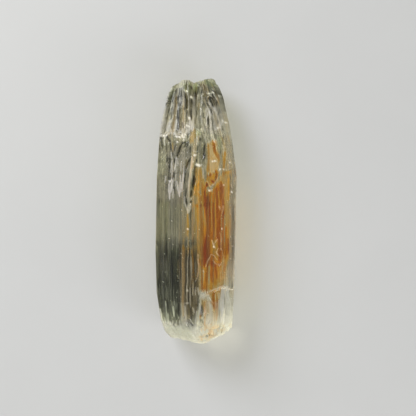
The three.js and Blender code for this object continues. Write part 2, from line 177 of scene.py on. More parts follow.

# ---- Marks on the upper side: half width, amount, and the points of a line, in millimetres ----
# Frosted lines, with painted highlights among them: the bright lines and glints of ledges, facets and
# striae
FROST_AND_HIGHLIGHT_MARKS = (
    # The furrowed head and its rim
    (0.25, 1, (2.8, 29.6), (3.4, 29.9)),
    (0.2, 1, (3.4, 29.8), (4, 29.4)),
    (0.18, 0.69, (-4.1, 29), (-3.2, 29.4), (-1.4, 29.4)),
    (0.18, 0.62, (-5.6, 28), (-5, 28.3), (-4.1, 28.6)),
    (0.18, 1, (-4.7, 27.9), (-4.6, 27.6)),
    (0.23, 1, (-3.2, 28), (-3, 28)),
    (0.29, 1, (-2.6, 27.1), (-1.9, 26.9)),
    (0.25, 0.62, (-3.5, 28.6), (-3.9, 27.8), (-4, 27), (-4.3, 25.9)),
    (0.2, 1, (0.5, 28.1), (0.7, 28)),
    (0.29, 1, (-1.2, 25.6), (-1, 25.7), (-0.7, 25.5)),
    (0.18, 0.69, (-3.7, 25.3), (-3.8, 24.5)),
    (0.23, 0.52, (-5.4, 24.5), (-5.5, 23.9), (-5.7, 23.2)),
    (0.18, 0.75, (-4.2, 23.9), (-4.2, 22.8)),
    (0.23, 0.94, (1.6, 26.5), (1.5, 26.2)),
    (0.18, 0.75, (1.9, 25.4), (2, 24.5)),
    (0.2, 0.69, (0.5, 26.1), (0.5, 25.7)),
    (0.18, 0.62, (2.3, 23.4), (2.1, 22.5)),
    (0.2, 1, (2.6, 26.5), (3.3, 26.6), (3.8, 27), (4.1, 26.8)),
    (0.15, 1, (2.7, 26), (3.1, 26.2), (3.5, 25.9)),
    (0.15, 0.75, (4, 26.6), (4.3, 26.1), (4.5, 25.7)),
    (0.17, 1, (3.6, 27.6), (3.9, 27.6), (4.2, 27.9)),
    (0.25, 1, (2.8, 24.7), (3.2, 24.1), (3.5, 23.6)),
    (0.25, 1, (2.6, 23.6), (2.9, 22.7), (3.1, 21.8)),
    (0.16, 0.62, (3.4, 22), (3.2, 20.9)),
    (0.17, 0.94, (5.1, 26.3), (5.4, 25.9)),
    (0.18, 0.88, (6.3, 22.4), (6.2, 21.8)),
    (0.2, 1, (6, 20.8), (6.1, 20.2)),
    (0.17, 1, (6.5, 20.1), (6.8, 20.4), (7.1, 20.7)),
    (0.18, 0.94, (5.6, 20.5), (5.6, 19.7), (5.4, 19.1)),
    (0.2, 1, (4.2, 18.5), (4.8, 18.6), (5.4, 18.9), (5.7, 19.5), (5.8, 20.2)),
    (0.29, 1, (-1.5, 21.1), (-1.4, 20.5)),
    (0.29, 0.39, (-6.7, 23), (-6.9, 21.4), (-7, 19.8)),
    (0.2, 0.5, (6.5, 25.2), (6.9, 23.4), (7.3, 21.1)),
    (0.16, 0.62, (5.8, 25.9), (6.2, 24.8)),
    (0.16, 0.62, (7.6, 20.2), (7.8, 18), (8, 16.1)),
    # The upper ledge, and the painted highlight of its bright facet
    (0.23, 1, (-7.6, 18), (-7.5, 17.9)),
    (0.2, 1, (-8.1, 17), (-7.3, 16.9), (-6.6, 17.1), (-6.3, 17.4)),
    (0.23, 0.94, (-6.8, 16.9), (-7, 16.1)),
    (0.18, 0.62, (-7, 16.1), (-6.9, 14.8)),
    (0.32, 0.69, (-5.9, 20.2), (-6.2, 19.1), (-6.4, 18)),
    (0.27, 0.75, (-4.4, 20.5), (-4.6, 19.1), (-4.8, 17.7)),
    (0.23, 1, (-4.5, 16.9), (-4, 16.6), (-3.5, 16.5), (-3.1, 16.7), (-2.6, 16.7), (-2.3, 16.4)),
    (0.16, 1, (-3.7, 17.2), (-2.9, 17.1), (-2.6, 17.3)),
    (0.18, 1, (-1.9, 19.6), (-2, 18.6)),
    (0.16, 1, (-1.7, 19.8), (-1.1, 19.3), (-0.5, 18.6)),
    (0.16, 1, (-2.3, 18.7), (-1.6, 18.8), (-0.9, 18.5)),
    (0.16, 1, (-2, 18), (-1.4, 18.2), (-0.9, 18.3)),
    (0.16, 1, (-1.1, 18.5), (-0.8, 19.3)),
    (0.18, 0.75, (-2.8, 15.8), (-2.2, 16)),
    (0.18, 1, (-4.1, 15.5), (-3.9, 15.3)),
    (0.15, 0.75, (-0.1, 18.6), (0.6, 18.2), (1.2, 17.6)),
    (0.16, 0.62, (1.4, 17.5), (1.9, 16.8), (2.3, 15.9), (2.5, 14.8)),
    (0.16, 0.62, (-5.1, 17.4), (-4.3, 17.3), (-3.7, 17.5)),
    # Flames, the long ridge, and a painted highlight along the right-hand edge
    (0.32, 1, (0.1, 10.6), (0.7, 10.2), (1.3, 10.4)),
    (0.32, 0.3, (0.3, 16.4), (0, 15), (-0.4, 13.9), (-0.3, 12.3), (-0.6, 10.9)),
    (0.2, 0.95, (-0.2, 13.5), (0, 13.3)),
    (0.25, 1, (-0.4, 12.5), (0.1, 12.6)),
    (0.29, 0.95, (-0.8, 12.1), (-1, 9.8), (-1.2, 8), (-1.4, 6.2), (-1.5, 4.4), (-1.5, 2.3)),
    (0.18, 0.8, (-1.5, 2.5), (-1.6, 1.2), (-1.7, -0.5)),
    (0.18, 0.9, (-1.4, 7.1), (-1.5, 5.7), (-1.5, 3.9)),
    (0.18, 0.8, (-0.7, 3.4), (-1.2, 2.8), (-1.5, 2.1)),
    (0.18, 0.65, (-2.4, 3.2), (-2.4, 1.9), (-2, 0.7), (-1.7, -0.4)),
    (0.16, 0.75, (-1.2, 1.9), (-1.2, 0.7), (-1.5, -0.3)),
    (0.2, 1, (0, 10.4), (0.6, 10.2), (1.1, 10.2), (1.3, 10.6)),
    (0.18, 0.6, (1.5, 9.8), (1.7, 8.7), (1.7, 7.5)),
    (0.18, 0.8, (-5.4, 13), (-5.3, 11.6), (-5.4, 10.3), (-5.6, 8.7)),
    (0.2, 0.8, (-4.4, 12.1), (-4.5, 10.3), (-4.8, 8.9)),
    (0.18, 0.5, (-5.2, 10.5), (-5.2, 8.9), (-5.3, 7.1)),
    (0.23, 0.85, (-5.3, 7.1), (-5.5, 5.3), (-5.7, 3.9), (-5.8, 2.6)),
    (0.2, 0.85, (-5.9, 6.8), (-6, 4.8), (-5.9, 3)),
    (0.16, 0.6, (-6.1, 6.2), (-6.1, 4.8), (-5.9, 3.2)),
    (0.16, 0.65, (-4.9, 7.5), (-5.2, 5.7), (-5.3, 4.4)),
    (0.23, 0.6, (-4.9, 5), (-5, 3.7), (-5, 3)),
    (0.18, 0.8, (-3.4, 8), (-3.5, 4.8), (-3.6, 3.4)),
    (0.18, 0.75, (-2.9, 8.4), (-3, 4.4)),
    (0.2, 0.7, (-4.2, 6.6), (-4, 5), (-3.6, 3.4)),
    (0.18, 0.75, (-2.6, 10.3), (-2.7, 8.7), (-2.8, 6.8)),
    (0.18, 0.6, (-4, 11.8), (-3.9, 10.5)),
    (0.16, 0.4, (-3.3, 11.2), (-3.4, 8.9)),
    (0.18, 0.6, (-6.7, 8.1), (-6.8, 7.3), (-6.9, 6.5)),
    (0.16, 0.45, (-8.5, 10.5), (-8.5, 8)),
    (0.14, 0.4, (-4.3, 9.8), (-4.4, 7.5), (-4.4, 5.7)),
    (0.23, 0.85, (3.7, 11.1), (4.1, 11.3), (4.5, 11.4)),
    (0.18, 0.9, (5, 9.2), (5.4, 9.5), (5.6, 9.6)),
    (0.15, 0.55, (2.4, 7), (2.9, 6.2), (3.4, 5.5), (3.9, 6.1), (4.4, 6.8), (4.9, 7.8)),
    (0.25, 0.85, (2.8, 5), (3.2, 4.6), (3.5, 5)),
    (0.25, 1, (8, 4.5), (8.1, 4.4)),
    (0.25, 0.5, (7.9, 6.1), (8.1, 5.4)),
    (0.23, 0.5, (8.1, 12.1), (8.6, 9.3), (8.9, 7.1)),
    (0.18, 0.45, (8.9, 7.1), (9, 3.7), (8.9, 0.7), (8.8, -2.4), (8.8, -6.5), (8.7, -11.1),
     (8.6, -15.6), (8.5, -19.7)),
    (0.16, 0.4, (7.6, 3.7), (7.6, -0.6)),
    (0.25, 0.5, (5.2, 1.3), (5.4, 0.5)),
    (0.23, 0.55, (6, 1.4), (6, 0.7), (5.8, -0.2)),
    (0.16, 0.45, (7.3, 13.4), (7.6, 11.6)),
    # Ribs, specks, and the lower ledge and its flutes
    (0.25, -4, (2.3, -27.6), (2.6, -27.8)),
    (0.18, -3, (5.9, -26.4), (5.8, -27)),
    (0.2, -3, (1.2, -28.6), (1.3, -29.1)),
    (0.18, -3, (0.5, -28.3), (0.6, -28.6)),
    (0.18, -2, (2.9, -27.1), (3.1, -27.4)),
    (0.18, 0.9, (-1.9, -3.7), (-1.6, -3.8)),
    (0.18, 0.75, (5.8, -3.5), (5.8, -3.9)),
    (0.15, 0.5, (5.4, -4.5), (5.6, -6.1), (5.5, -7.9)),
    (0.18, 0.7, (5.5, -7.9), (5.6, -8.4)),
    (0.16, 0.7, (3.6, -6.3), (4, -7.2), (4.2, -7.9)),
    (0.16, 0.6, (4.9, -5.9), (4.6, -6.5), (4.2, -7)),
    (0.23, 0.65, (3.9, -7.7), (4.3, -7.9)),
    (0.16, 0.45, (3.5, -9.3), (4.1, -9.9), (4.8, -10.5)),
    (0.16, 0.45, (3.7, -10.7), (4.2, -11.2), (4.7, -11.7)),
    (0.18, 0.6, (4.9, -8.1), (4.6, -9), (5.1, -9.7)),
    (0.15, 0.55, (3.4, -9.5), (2.7, -10.8), (2.3, -12)),
    (0.18, 0.5, (4.9, -11.4), (5.2, -11.9), (5.7, -11.3)),
    (0.18, 0.5, (1.7, -12.8), (1.8, -13.4)),
    (0.14, 0.35, (5.9, -8.3), (6.1, -11.5), (6.1, -16.5)),
    (0.12, 0.3, (6.4, -10.6), (6.5, -15.6)),
    (0.14, 0.3, (5.6, -12.9), (5.6, -16.5)),
    (0.16, 0.25, (-8.6, -16.5), (-8.5, -18.8)),
    (0.26, 0.85, (-5.1, -21), (-5, -22), (-4.9, -23.1)),
    (0.18, 0.45, (-6.7, -19.9), (-6.5, -22.4), (-6.5, -24)),
    (0.16, 0.2, (-6.5, -16.5), (-6.4, -19.5)),
    (0.23, 0.85, (-8, -21.6), (-7.7, -23.3), (-7.3, -24.9), (-6.9, -26.5)),
    (0.18, 0.5, (-6.1, -22.6), (-6.1, -25.1)),
    (0.16, 0.45, (-5.1, -24), (-5.1, -25.4)),
    (0.18, 0.45, (-3.5, -24), (-3.4, -25.6)),
    (0.18, 0.4, (-4.3, -23.8), (-4.3, -25.4)),
    (0.18, 0.5, (-7, -23.5), (-6.7, -25.4)),
    (0.39, 0.14, (-2.7, -8.6), (-2.7, -13.3), (-2.8, -17), (-2.9, -20.4), (-3, -25.1)),
    (0.15, 0.4, (-1.7, -8.3), (-1.7, -11.5), (-1.9, -13.8), (-1.9, -17.4), (-1.9, -20.4)),
    (0.2, 0.8, (-1.9, -17.1), (-1.8, -17.6)),
    (0.16, 0.55, (-2.3, -20), (-1.5, -20)),
    (0.15, 0.3, (-1.1, -9.9), (-1, -12.4), (-0.8, -14.9)),
    (0.15, 0.45, (0.8, -11.1), (0.6, -12.9), (0.3, -14.5), (-0.1, -15.4)),
    (0.14, 0.4, (-1.2, -16.5), (-1.2, -19.7), (-1.2, -21)),
    (0.18, 0.55, (-2.4, -20.8), (-2.4, -22.6), (-2, -24.4)),
    (0.12, 0.6, (-1.4, -23.5), (-0.8, -24.4), (-0.3, -25.1)),
    (0.18, 0.3, (-0.5, -15.6), (-0.6, -18.3)),
    (0.16, 0.35, (0.1, -16.5), (-0.1, -18.3)),
    (0.16, 0.4, (0.5, -9.3), (0.6, -11.5)),
    (0.25, 0.4, (-0.7, -21), (-0.4, -22.2)),
    (0.23, 0.7, (5.3, -17), (5.7, -16.7), (6.5, -16.6)),
    (0.29, 1, (5.7, -16.8), (6, -17.3)),
    (0.25, 1, (6.8, -16.7), (7.2, -17.1)),
    (0.18, 0.6, (1.9, -18.8), (2.4, -18.4), (2.8, -18.4), (3, -18.6)),
    (0.16, 0.6, (3.1, -19), (3.4, -19.7), (3.8, -20.3)),
    (0.23, 0.65, (1.6, -19.1), (1.6, -19.4)),
    (0.2, 0.25, (0.1, -17.2), (0.1, -19.9)),
    (0.23, 0.4, (0.5, -16.7), (0.7, -18.1)),
    (0.2, 0.5, (3.4, -17.5), (4, -17.1), (4.8, -17.1), (5.4, -16.6)),
    (0.2, 0.5, (1.5, -19.1), (2, -18.6), (2.6, -18.5)),
    (0.25, 0.35, (-0.9, 8.7), (-0.9, 6.6)),
    (0.2, 0.75, (6.8, -17.4), (6.7, -18.8), (7, -20.1), (7.4, -21)),
    (0.18, 0.75, (7.5, -19.7), (7.8, -20.8), (7.6, -22.2), (7.3, -21.5), (7.5, -20.4)),
    (0.23, 0.8, (8.1, -20.1), (8.3, -22.4), (8.3, -24.9)),
    (0.2, 0.5, (3.4, -20.8), (3.4, -24.7)),
    (0.18, 0.45, (3.9, -22.4), (4.1, -25.4)),
    (0.2, 0.35, (2.4, -19.9), (2.4, -25.1)),
    (0.16, 0.6, (7.3, -17.4), (7.3, -19.2)),
)

# Painted shade: dark lines in the furrows, clefts and pits, and under and beside the ledge, where shade
# falls
PAINTED_SHADE_MARKS = (
    # The furrowed head and its pit
    (0.2, 1, (-0.9, 27.9), (-0.8, 27.4)),
    (0.2, 0.88, (-4.4, 27.5), (-4.5, 25.9)),
    (0.23, 0.75, (-3.3, 26.6), (-3.3, 25.2)),
    (0.23, 0.4, (-5.7, 26.6), (-5.9, 24.3)),
    (0.23, 0.62, (-5.1, 27), (-5.4, 24.5)),
    (0.27, 0.75, (-2.6, 26.9), (-2.3, 25.7), (-2.1, 24.3), (-2, 23)),
    (0.16, 1, (-2.6, 26.8), (-2.3, 25.7), (-2.1, 24.3), (-2, 23.2)),
    (0.2, 0.88, (-0.1, 26.7), (-0.2, 25.2)),
    (0.18, 0.62, (-0.3, 25.2), (-0.5, 23.4)),
    (0.25, 1, (-0.9, 25.4), (-0.8, 24)),
    (0.26, 1.6, (-1, 23), (-1, 20.4)),
    (0.27, 1.5, (-4.1, 23.6), (-4, 21.4), (-3.9, 18.5)),
    (0.2, 0.88, (-3.3, 24.4), (-3.4, 23.6)),
    (0.2, 1, (-2.6, 23.3), (-2.5, 22.8)),
    (0.2, 1, (-2.9, 20), (-2.8, 18.6)),
    (0.25, 1, (2.8, 25.7), (3.3, 24.9), (3.6, 24.2)),
    (0.23, 1, (3.2, 25.8), (3.8, 25.4), (4.1, 24.9)),
    (0.18, 1, (2.6, 26.3), (3.2, 26.3)),
    (0.2, 1, (3.7, 26.4), (4, 25.9), (4.4, 25.4)),
    (0.23, 1, (3.7, 27.3), (4.2, 27.2), (4.5, 26.7)),
    (0.2, 1, (3.7, 28), (4, 27.8)),
    (0.2, 1, (4.9, 27.6), (5.1, 26.8)),
    (0.18, 1, (4.9, 25.2), (4.6, 24.6)),
    (0.18, 0.94, (4.4, 24.7), (4.6, 24)),
    (0.16, 1, (3.2, 23), (3.6, 21.9)),
    (0.18, 0.75, (3.7, 25), (3.9, 23.4)),
    (0.2, 0.81, (5.2, 23.3), (5.1, 22.5), (4.9, 21.8)),
    (0.23, 1.2, (4.9, 20.7), (5, 19.7)),
    (0.23, 0.7, (2.8, 21.3), (2.8, 20.7), (2.8, 19.5)),
    (0.18, 0.48, (1.7, 22.2), (1.7, 21.1)),
    (0.18, 0.43, (1, 21.4), (1, 18.6)),
    (0.16, 0.52, (3.8, 20.4), (3.8, 19.3)),
    (0.16, 0.62, (0.2, 23.4), (0.1, 21.1)),
    (0.16, 0.39, (-5, 23.6), (-5.1, 21.6)),
    (0.18, 0.75, (1.4, 27.3), (1.1, 26.4)),
    (0.18, 0.8, (-1.9, 22.5), (-2, 20.2)),
    (0.16, 0.43, (-5.4, 23), (-5.5, 20.5)),
    (0.16, 0.35, (2.2, 21.1), (2.1, 18.4)),
    # Under and beside the upper ledge
    (0.18, 1.12, (-1.7, 19.7), (-1.1, 19.1), (-0.6, 18.6)),
    (0.14, 0.88, (-2.2, 18.9), (-1.5, 18.4)),
    (0.17, 0.6, (-1.4, 17.4), (-1.8, 16.6)),
    (0.25, 0.8, (-6.3, 16.8), (-6.1, 16.1), (-5.7, 15.9)),
    (0.21, 0.6, (-7.8, 16.7), (-7.7, 15.7), (-7.6, 14.6)),
    (0.19, 0.5, (-7.3, 15.5), (-7.6, 13.7)),
    (0.17, 0.65, (-5.6, 15.9), (-5.5, 14.6), (-5.4, 13.5)),
    (0.27, 0.8, (-2.9, 15.3), (-3.3, 14.6), (-3.8, 13.4), (-4.1, 12.3)),
    (0.15, 0.7, (-3.2, 14.8), (-3.7, 13.5), (-4.1, 12.4)),
    (0.25, 0.8, (-2.8, 15.4), (-1.7, 15.3)),
    (0.23, 0.8, (-2.1, 15), (-2.5, 14.3)),
    (0.19, 0.6, (-1.3, 16.1), (-1.7, 15.2), (-2, 14.1)),
    (0.23, 0.6, (-1.2, 14.3), (-1.3, 13.1)),
    (0.21, 0.65, (1, 16.4), (1, 15.8)),
    (0.27, 0.8, (2.2, 14.9), (1.9, 14.1), (1.8, 13.2), (1.7, 12.1)),
    (0.19, 0.65, (2.1, 12.8), (1.8, 11.5)),
    (0.19, 0.75, (0, 11.6), (0.2, 11.2)),
    (0.21, 0.45, (6.1, 17.1), (6, 15.2)),
    (0.19, 0.45, (5.6, 14.1), (5.4, 12.7)),
    (0.17, 0.65, (7.6, 15.2), (7.9, 14.7)),
    (0.17, 0.5, (-5, 13.9), (-5.2, 12.5)),
    (0.15, 0.5, (-4.4, 14.8), (-4.7, 13.4)),
    (0.17, 0.5, (-0.5, 12.1), (-0.8, 11.2)),
    (0.15, 0.4, (0.5, 14.8), (0.4, 13)),
    (0.17, 0.5, (-8.2, 15.2), (-8.1, 13.4)),
    (0.15, 0.5, (-6.4, 15.2), (-6.4, 13.4)),
    (0.17, 0.4, (6.8, 16.6), (6.6, 13.9)),
    (0.15, 0.5, (8.3, 13.9), (8.4, 12.1)),
    # Between the flames, and the cleft
    (0.22, 0.59, (-6.4, 12.7), (-6.4, 11.1)),
    (0.22, 0.81, (-5.9, 12.1), (-5.7, 10.9)),
    (0.2, 0.85, (-4.8, 11.8), (-4.9, 10.7)),
    (0.22, 0.81, (-6, 11), (-5.9, 9.8), (-5.9, 8.8)),
    (0.18, 0.5, (-6.1, 8.9), (-6.2, 7.3)),
    (0.2, 0.63, (-5.8, 7.7), (-5.7, 7.2)),
    (0.26, 0.77, (-1.2, 11.7), (-1.8, 10.9), (-1.9, 10.3)),
    (0.24, 0.72, (-1.9, 10.5), (-2.2, 9.3), (-2.4, 8.2)),
    (0.18, 0.59, (-2.4, 8.4), (-2.5, 6.6)),
    (0.16, 0.45, (-1.6, 8.4), (-1.7, 6.8)),
    (0.2, 0.72, (-4.7, 9.2), (-4.9, 8), (-5.1, 6.8)),
    (0.16, 0.72, (-5, 6.6), (-5, 5.4)),
    (0.16, 0.54, (-4.5, 8.8), (-4.8, 7.4)),
    (0.16, 0.54, (-4.5, 6.8), (-4.7, 4.8)),
    (0.18, 0.54, (-4.7, 5.3), (-4.7, 4)),
    (0.2, 0.5, (-7.9, 3), (-8.3, 2)),
    (0.18, 0.9, (-0.4, 7.8), (-0.5, 6.2), (-0.5, 4.9)),
    (0.24, 0.9, (-0.9, 4.8), (-1.1, 3.5)),
    (0.22, 0.85, (-1, 2.8), (-1.2, 2.2)),
    (0.22, 0.72, (-0.2, 10.1), (-0.2, 8.7), (-0.3, 7.3)),
    (0.24, 0.27, (0.3, 8.9), (0.2, 5.5)),
    (0.24, 0.72, (-2, 2.9), (-2, 1.9), (-2, 1)),
    (0.18, 0.5, (-1, 0.7), (-1.2, -0.4), (-1.2, -1.9)),
    (0.14, 0.5, (-2.1, 5.3), (-2.1, 3.4)),
    (0.2, 0.68, (8.3, 11.8), (8.5, 10.3), (8.8, 8)),
    (0.16, 0.54, (8.3, 1.6), (8.3, -2)),
    (0.16, 0.45, (7.7, 8.4), (7.6, 5.7)),
    (0.14, 0.45, (6.9, 11.6), (6.8, 9.8)),
    (0.16, 0.45, (7.6, 5.7), (7.7, 4.4)),
    (0.14, 0.18, (-7, 1.9), (-7, -4.7)),
    (0.14, 0.18, (-5.7, 1.4), (-5.6, -3.8)),
    (0.16, 0.18, (-3.9, 1.6), (-3.9, -5.2)),
    (0.16, 0.27, (-1, -1.8), (-1.1, -4.7)),
    (0.16, 0.45, (-0.4, -5.2), (-0.5, -7.9)),
    # The clear dark left, and between the ribs
    (0.23, 0.45, (-6.5, -4.7), (-6.5, -12.9)),
    (0.2, 0.4, (-5.4, -8.6), (-5.3, -16.1)),
    (0.27, 0.5, (-3.5, -7.2), (-3.4, -14.7)),
    (0.2, 0.4, (-4.5, -10.6), (-4.5, -18.3)),
    (0.27, 0.5, (-3.5, -18.8), (-3.6, -23.1)),
    (0.25, 0.5, (-4.2, -21.3), (-4.2, -23.8)),
    (0.18, 0.3, (-7.6, -8.8), (-7.6, -15.6)),
    (0.16, 0.3, (-7, -11.5), (-7, -16.5)),
    (0.2, 0.85, (-2, -24.7), (-1.7, -24.8)),
    (0.2, 0.8, (-6.4, -24.6), (-6.3, -25.1)),
    (0.23, 0.65, (-1.8, -23.5), (-2, -24.3)),
    (0.2, 0.85, (-2.1, -8.6), (-2.1, -11.5), (-2.2, -13.8), (-2.3, -18.1)),
    (0.23, 0.95, (-1.4, -7.9), (-1.5, -11.5), (-1.5, -14.5)),
    (0.23, 0.8, (-0.5, -8.1), (-0.5, -11.5), (-0.4, -14.2), (-0.2, -15.4)),
    (0.23, 0.45, (-1, -11.3), (-0.9, -14.7)),
    (0.23, 0.75, (0.6, -12.4), (0.4, -14.2), (0.2, -15.4)),
    (0.23, 0.65, (0, -15.2), (-0.1, -16.5), (-0.1, -17.6)),
    (0.18, 0.7, (-1.4, -14.7), (-1.5, -17.9), (-1.5, -20.8)),
    (0.18, 0.65, (-0.9, -15.8), (-0.9, -19.5)),
    (0.25, 0.8, (-1.6, -18.1), (-1.6, -20.1)),
    (0.2, 0.2, (0.6, -18.1), (0.5, -19.7), (0.1, -21.3)),
    (0.32, 0.85, (-1.2, -20.6), (-1, -22.4), (-1, -23.8)),
    (0.2, 0.65, (-1.9, -21), (-1.7, -23.1)),
    (0.18, 0.55, (-0.7, -17.6), (-0.6, -20.4)),
    (0.23, 0.6, (1.5, -19.7), (1.6, -20.4), (1.5, -22.2)),
    (0.29, 0.8, (1.3, -20.8), (1.2, -23.1)),
    (0.27, 0.35, (1, -23.8), (1.6, -24.6)),
    (0.18, 0.45, (-2.5, -21.3), (-2.6, -17.4)),
    (0.2, 0.7, (3.3, -20), (3.5, -20.5)),
    (0.18, 0.45, (4.1, -23.1), (4.2, -24.4)),
    (0.16, 0.6, (4.7, -20.6), (4.5, -22.4)),
    (0.25, 0.4, (-0.7, -25.8), (-0.3, -26.4)),
    (0.18, 0.45, (8.1, -15.6), (8.1, -18.3)),
    (0.16, 0.35, (2.4, -20.6), (2.4, -24.2)),
    (0.16, 0.35, (5.1, -19.2), (5.2, -22.9)),
    (0.16, 0.4, (6.4, -18.3), (6.4, -21.5)),
    (0.18, 0.4, (0.4, -15.6), (0.6, -17.2)),
    (0.16, 0.3, (-6, -9.9), (-5.9, -14.5)),
)

STAIN_MARKS = (
    # Stripes along the crystal; a negative amount thins the stain
    (0.27, 0.12, (4, 15.7), (4.2, 14.3), (4.4, 13.2)),
    (0.23, 0.14, (3.8, 14.8), (4.1, 13.4), (4.6, 12.3)),
    (0.34, 0.22, (6.5, 13.4), (6.3, 11.6), (6.1, 9.6)),
    (0.32, 0.55, (3.6, 6.9), (4, 6.4)),
    (0.29, 0.55, (2.4, 6.3), (2.6, 5.7)),
    (0.27, 0.14, (2.8, 14.8), (2.9, 12.1), (2.8, 8.7)),
    (0.25, 0.3, (4.6, 8.7), (4.4, 7.1)),
    (0.27, 0.3, (-0.8, 12.1), (-1, 9.8), (-1.2, 8), (-1.4, 5.7), (-1.5, 3.4)),
    (0.39, 0.16, (0.8, 9.3), (0.9, 7.1), (0.8, 4.8)),
    (0.25, 0.16, (0.2, 6.8), (0, 5.3), (-0.2, 3.7)),
    (0.27, 0.14, (0.5, 6.2), (0.4, 4.8), (0.1, 3.4)),
    (0.29, 0.14, (1.5, 6.2), (1.6, 4.8), (1.6, 2.1)),
    (0.34, 0.22, (0.6, 4.1), (1, 3.2), (0.8, 1.9)),
    (0.73, 0.17, (2.5, 3.4), (2.6, 0.3), (2.7, -4.7), (2.6, -8.3), (2.4, -11.1)),
    (0.29, 0.16, (2.4, 3.2), (2.4, -0.6)),
    (0.34, 0.14, (2.4, -5.6), (2.4, -8.3), (2, -11.5)),
    (0.42, 0.12, (1.5, -7.9), (1.7, -10.2), (1.8, -11.5)),
    (0.23, 0.2, (3, 2.3), (3.1, -1.1)),
    (0.27, 0.2, (3.9, 1.9), (3.9, -2.4), (3.9, -6.1)),
    (0.32, 0.26, (4.7, 5.3), (4.8, 1.2), (4.7, -2.4), (4.8, -6.1)),
    (0.37, 0.2, (5.1, -5.6), (5.2, -8.8), (5.2, -10.6)),
    (0.42, 0.26, (5.5, 6.6), (5.6, 4.8), (5.4, 2.8)),
    (0.25, 0.2, (5.4, 0.7), (5.3, -2.4), (5.4, -5.6)),
    (0.25, 0.34, (6.1, 1), (6, -0.6)),
    (0.25, 0.2, (6, -0.6), (6, -4.3), (6, -8.8)),
    (0.23, 0.22, (6.7, -3.4), (6.7, -7.4), (6.6, -10.2)),
    (0.27, 0.26, (7.2, -6.1), (7.1, -9.3)),
    (0.2, 0.12, (7.4, 8), (7.3, 2.5)),
    (0.44, 0.06, (2.4, -12), (2.4, -15.2)),
    (0.55, 0.16, (3.6, -11.1), (3.6, -13.3), (3.7, -15.4)),
    (0.25, 0.14, (1.3, -12), (1.3, -17)),
    (0.29, 0.24, (4.4, -11.5), (4.7, -14.7)),
    (0.23, 0.14, (6.4, -11.3), (6.3, -13.1)),
    (0.16, -0.24, (3.5, 3.9), (3.5, -0.2), (3.5, -4.3)),
    (0.14, -0.22, (4.4, 3), (4.4, -5.6)),
    (0.16, -0.2, (5.1, 4.8), (5.1, 0.7)),
    (0.16, -0.28, (5.7, -0.4), (5.7, -7)),
    (0.16, -0.2, (6.4, -0.6), (6.4, -7.9)),
    (0.23, -0.16, (3, -11.7), (3, -15.8)),
    (0.18, -0.14, (1.7, -12.9), (1.7, -16.5)),
    (0.25, 0.26, (-1.7, -0.4), (-1.7, -3.1), (-1.8, -5.2)),
    (0.18, 0.2, (-1.7, -5.2), (-1.7, -9.7)),
    (0.34, 0.2, (-2.6, -6.1), (-2.7, -11.5), (-2.8, -22.9)),
    (0.18, 0.16, (-1, -8.3), (-0.6, -11.5), (-0.2, -14.9)),
    (0.18, 0.2, (0.9, -10.4), (0.6, -12.9), (0, -14.9)),
    (0.25, 0.3, (3.2, -20), (3.5, -20.4)),
    (0.25, 0.16, (4.7, -18.3), (4.8, -22), (4.7, -24.2)),
    (0.25, 0.15, (3.9, -17.6), (3.8, -19.5)),
    (0.18, 0.4, (1.1, -22.4), (1, -23.6)),
    (0.25, 0.9, (2.3, -27.6), (2.5, -27.8)),
    (0.2, 0.5, (5.9, -26.4), (5.8, -27)),
    (0.23, 0.4, (1.2, -28.6), (1.3, -29.1)),
    (0.37, 0.18, (5.9, 2.8), (6, 1.2), (6, -1.3)),
    (0.2, 0.17, (-5.1, 15.2), (-5, 13.4)),
    (0.18, 0.18, (0.6, 24.5), (0.5, 22.7)),
    (0.2, 0.15, (-3.9, -10.6), (-4, -14.7)),
    (0.25, 0.14, (2, -20.1), (2, -25.1)),
)

# Painted glints, small bright spots that glow: the middle, and the radius
PAINTED_GLINTS = (
    (4.2, 15.6, 0.21), (-2.4, 18.8, 0.21), (-1.7, 19.1, 0.21), (3.1, 29.8, 0.37), (3.7, 29.6, 0.3),
    (-2, 27, 0.28), (-1.1, 25.7, 0.26), (-1.4, 20.9, 0.28), (-7.6, 18.1, 0.3), (-2.1, 19.2, 0.23),
    (-1.5, 19, 0.21), (-7.2, 17.1, 0.23), (-6.5, 17.1, 0.21), (-4.3, 16.7, 0.21), (-3.6, 16.6, 0.23),
    (-3, 16.9, 0.23), (-2.3, 17, 0.21), (-2.6, 16.5, 0.19), (3.9, 26.8, 0.26), (2.9, 26.6, 0.21),
    (4.7, 25.5, 0.21), (4.9, 18.8, 0.26), (6, 20.5, 0.21), (6.6, 20.2, 0.21), (0.3, 10.4, 0.28),
    (0.8, 10.2, 0.28), (-0.2, 12.5, 0.3), (3.7, 11.2, 0.23), (4.2, 11.3, 0.23), (5.4, 9.5, 0.21),
    (6.2, 9.5, 0.21), (8, 4.5, 0.23), (3, 4.7, 0.23), (6.2, 6, 0.19), (7.6, 11.1, 0.21),
    (-1.8, -3.7, 0.17), (5.8, -3.7, 0.17), (4, -7.7, 0.21),
)

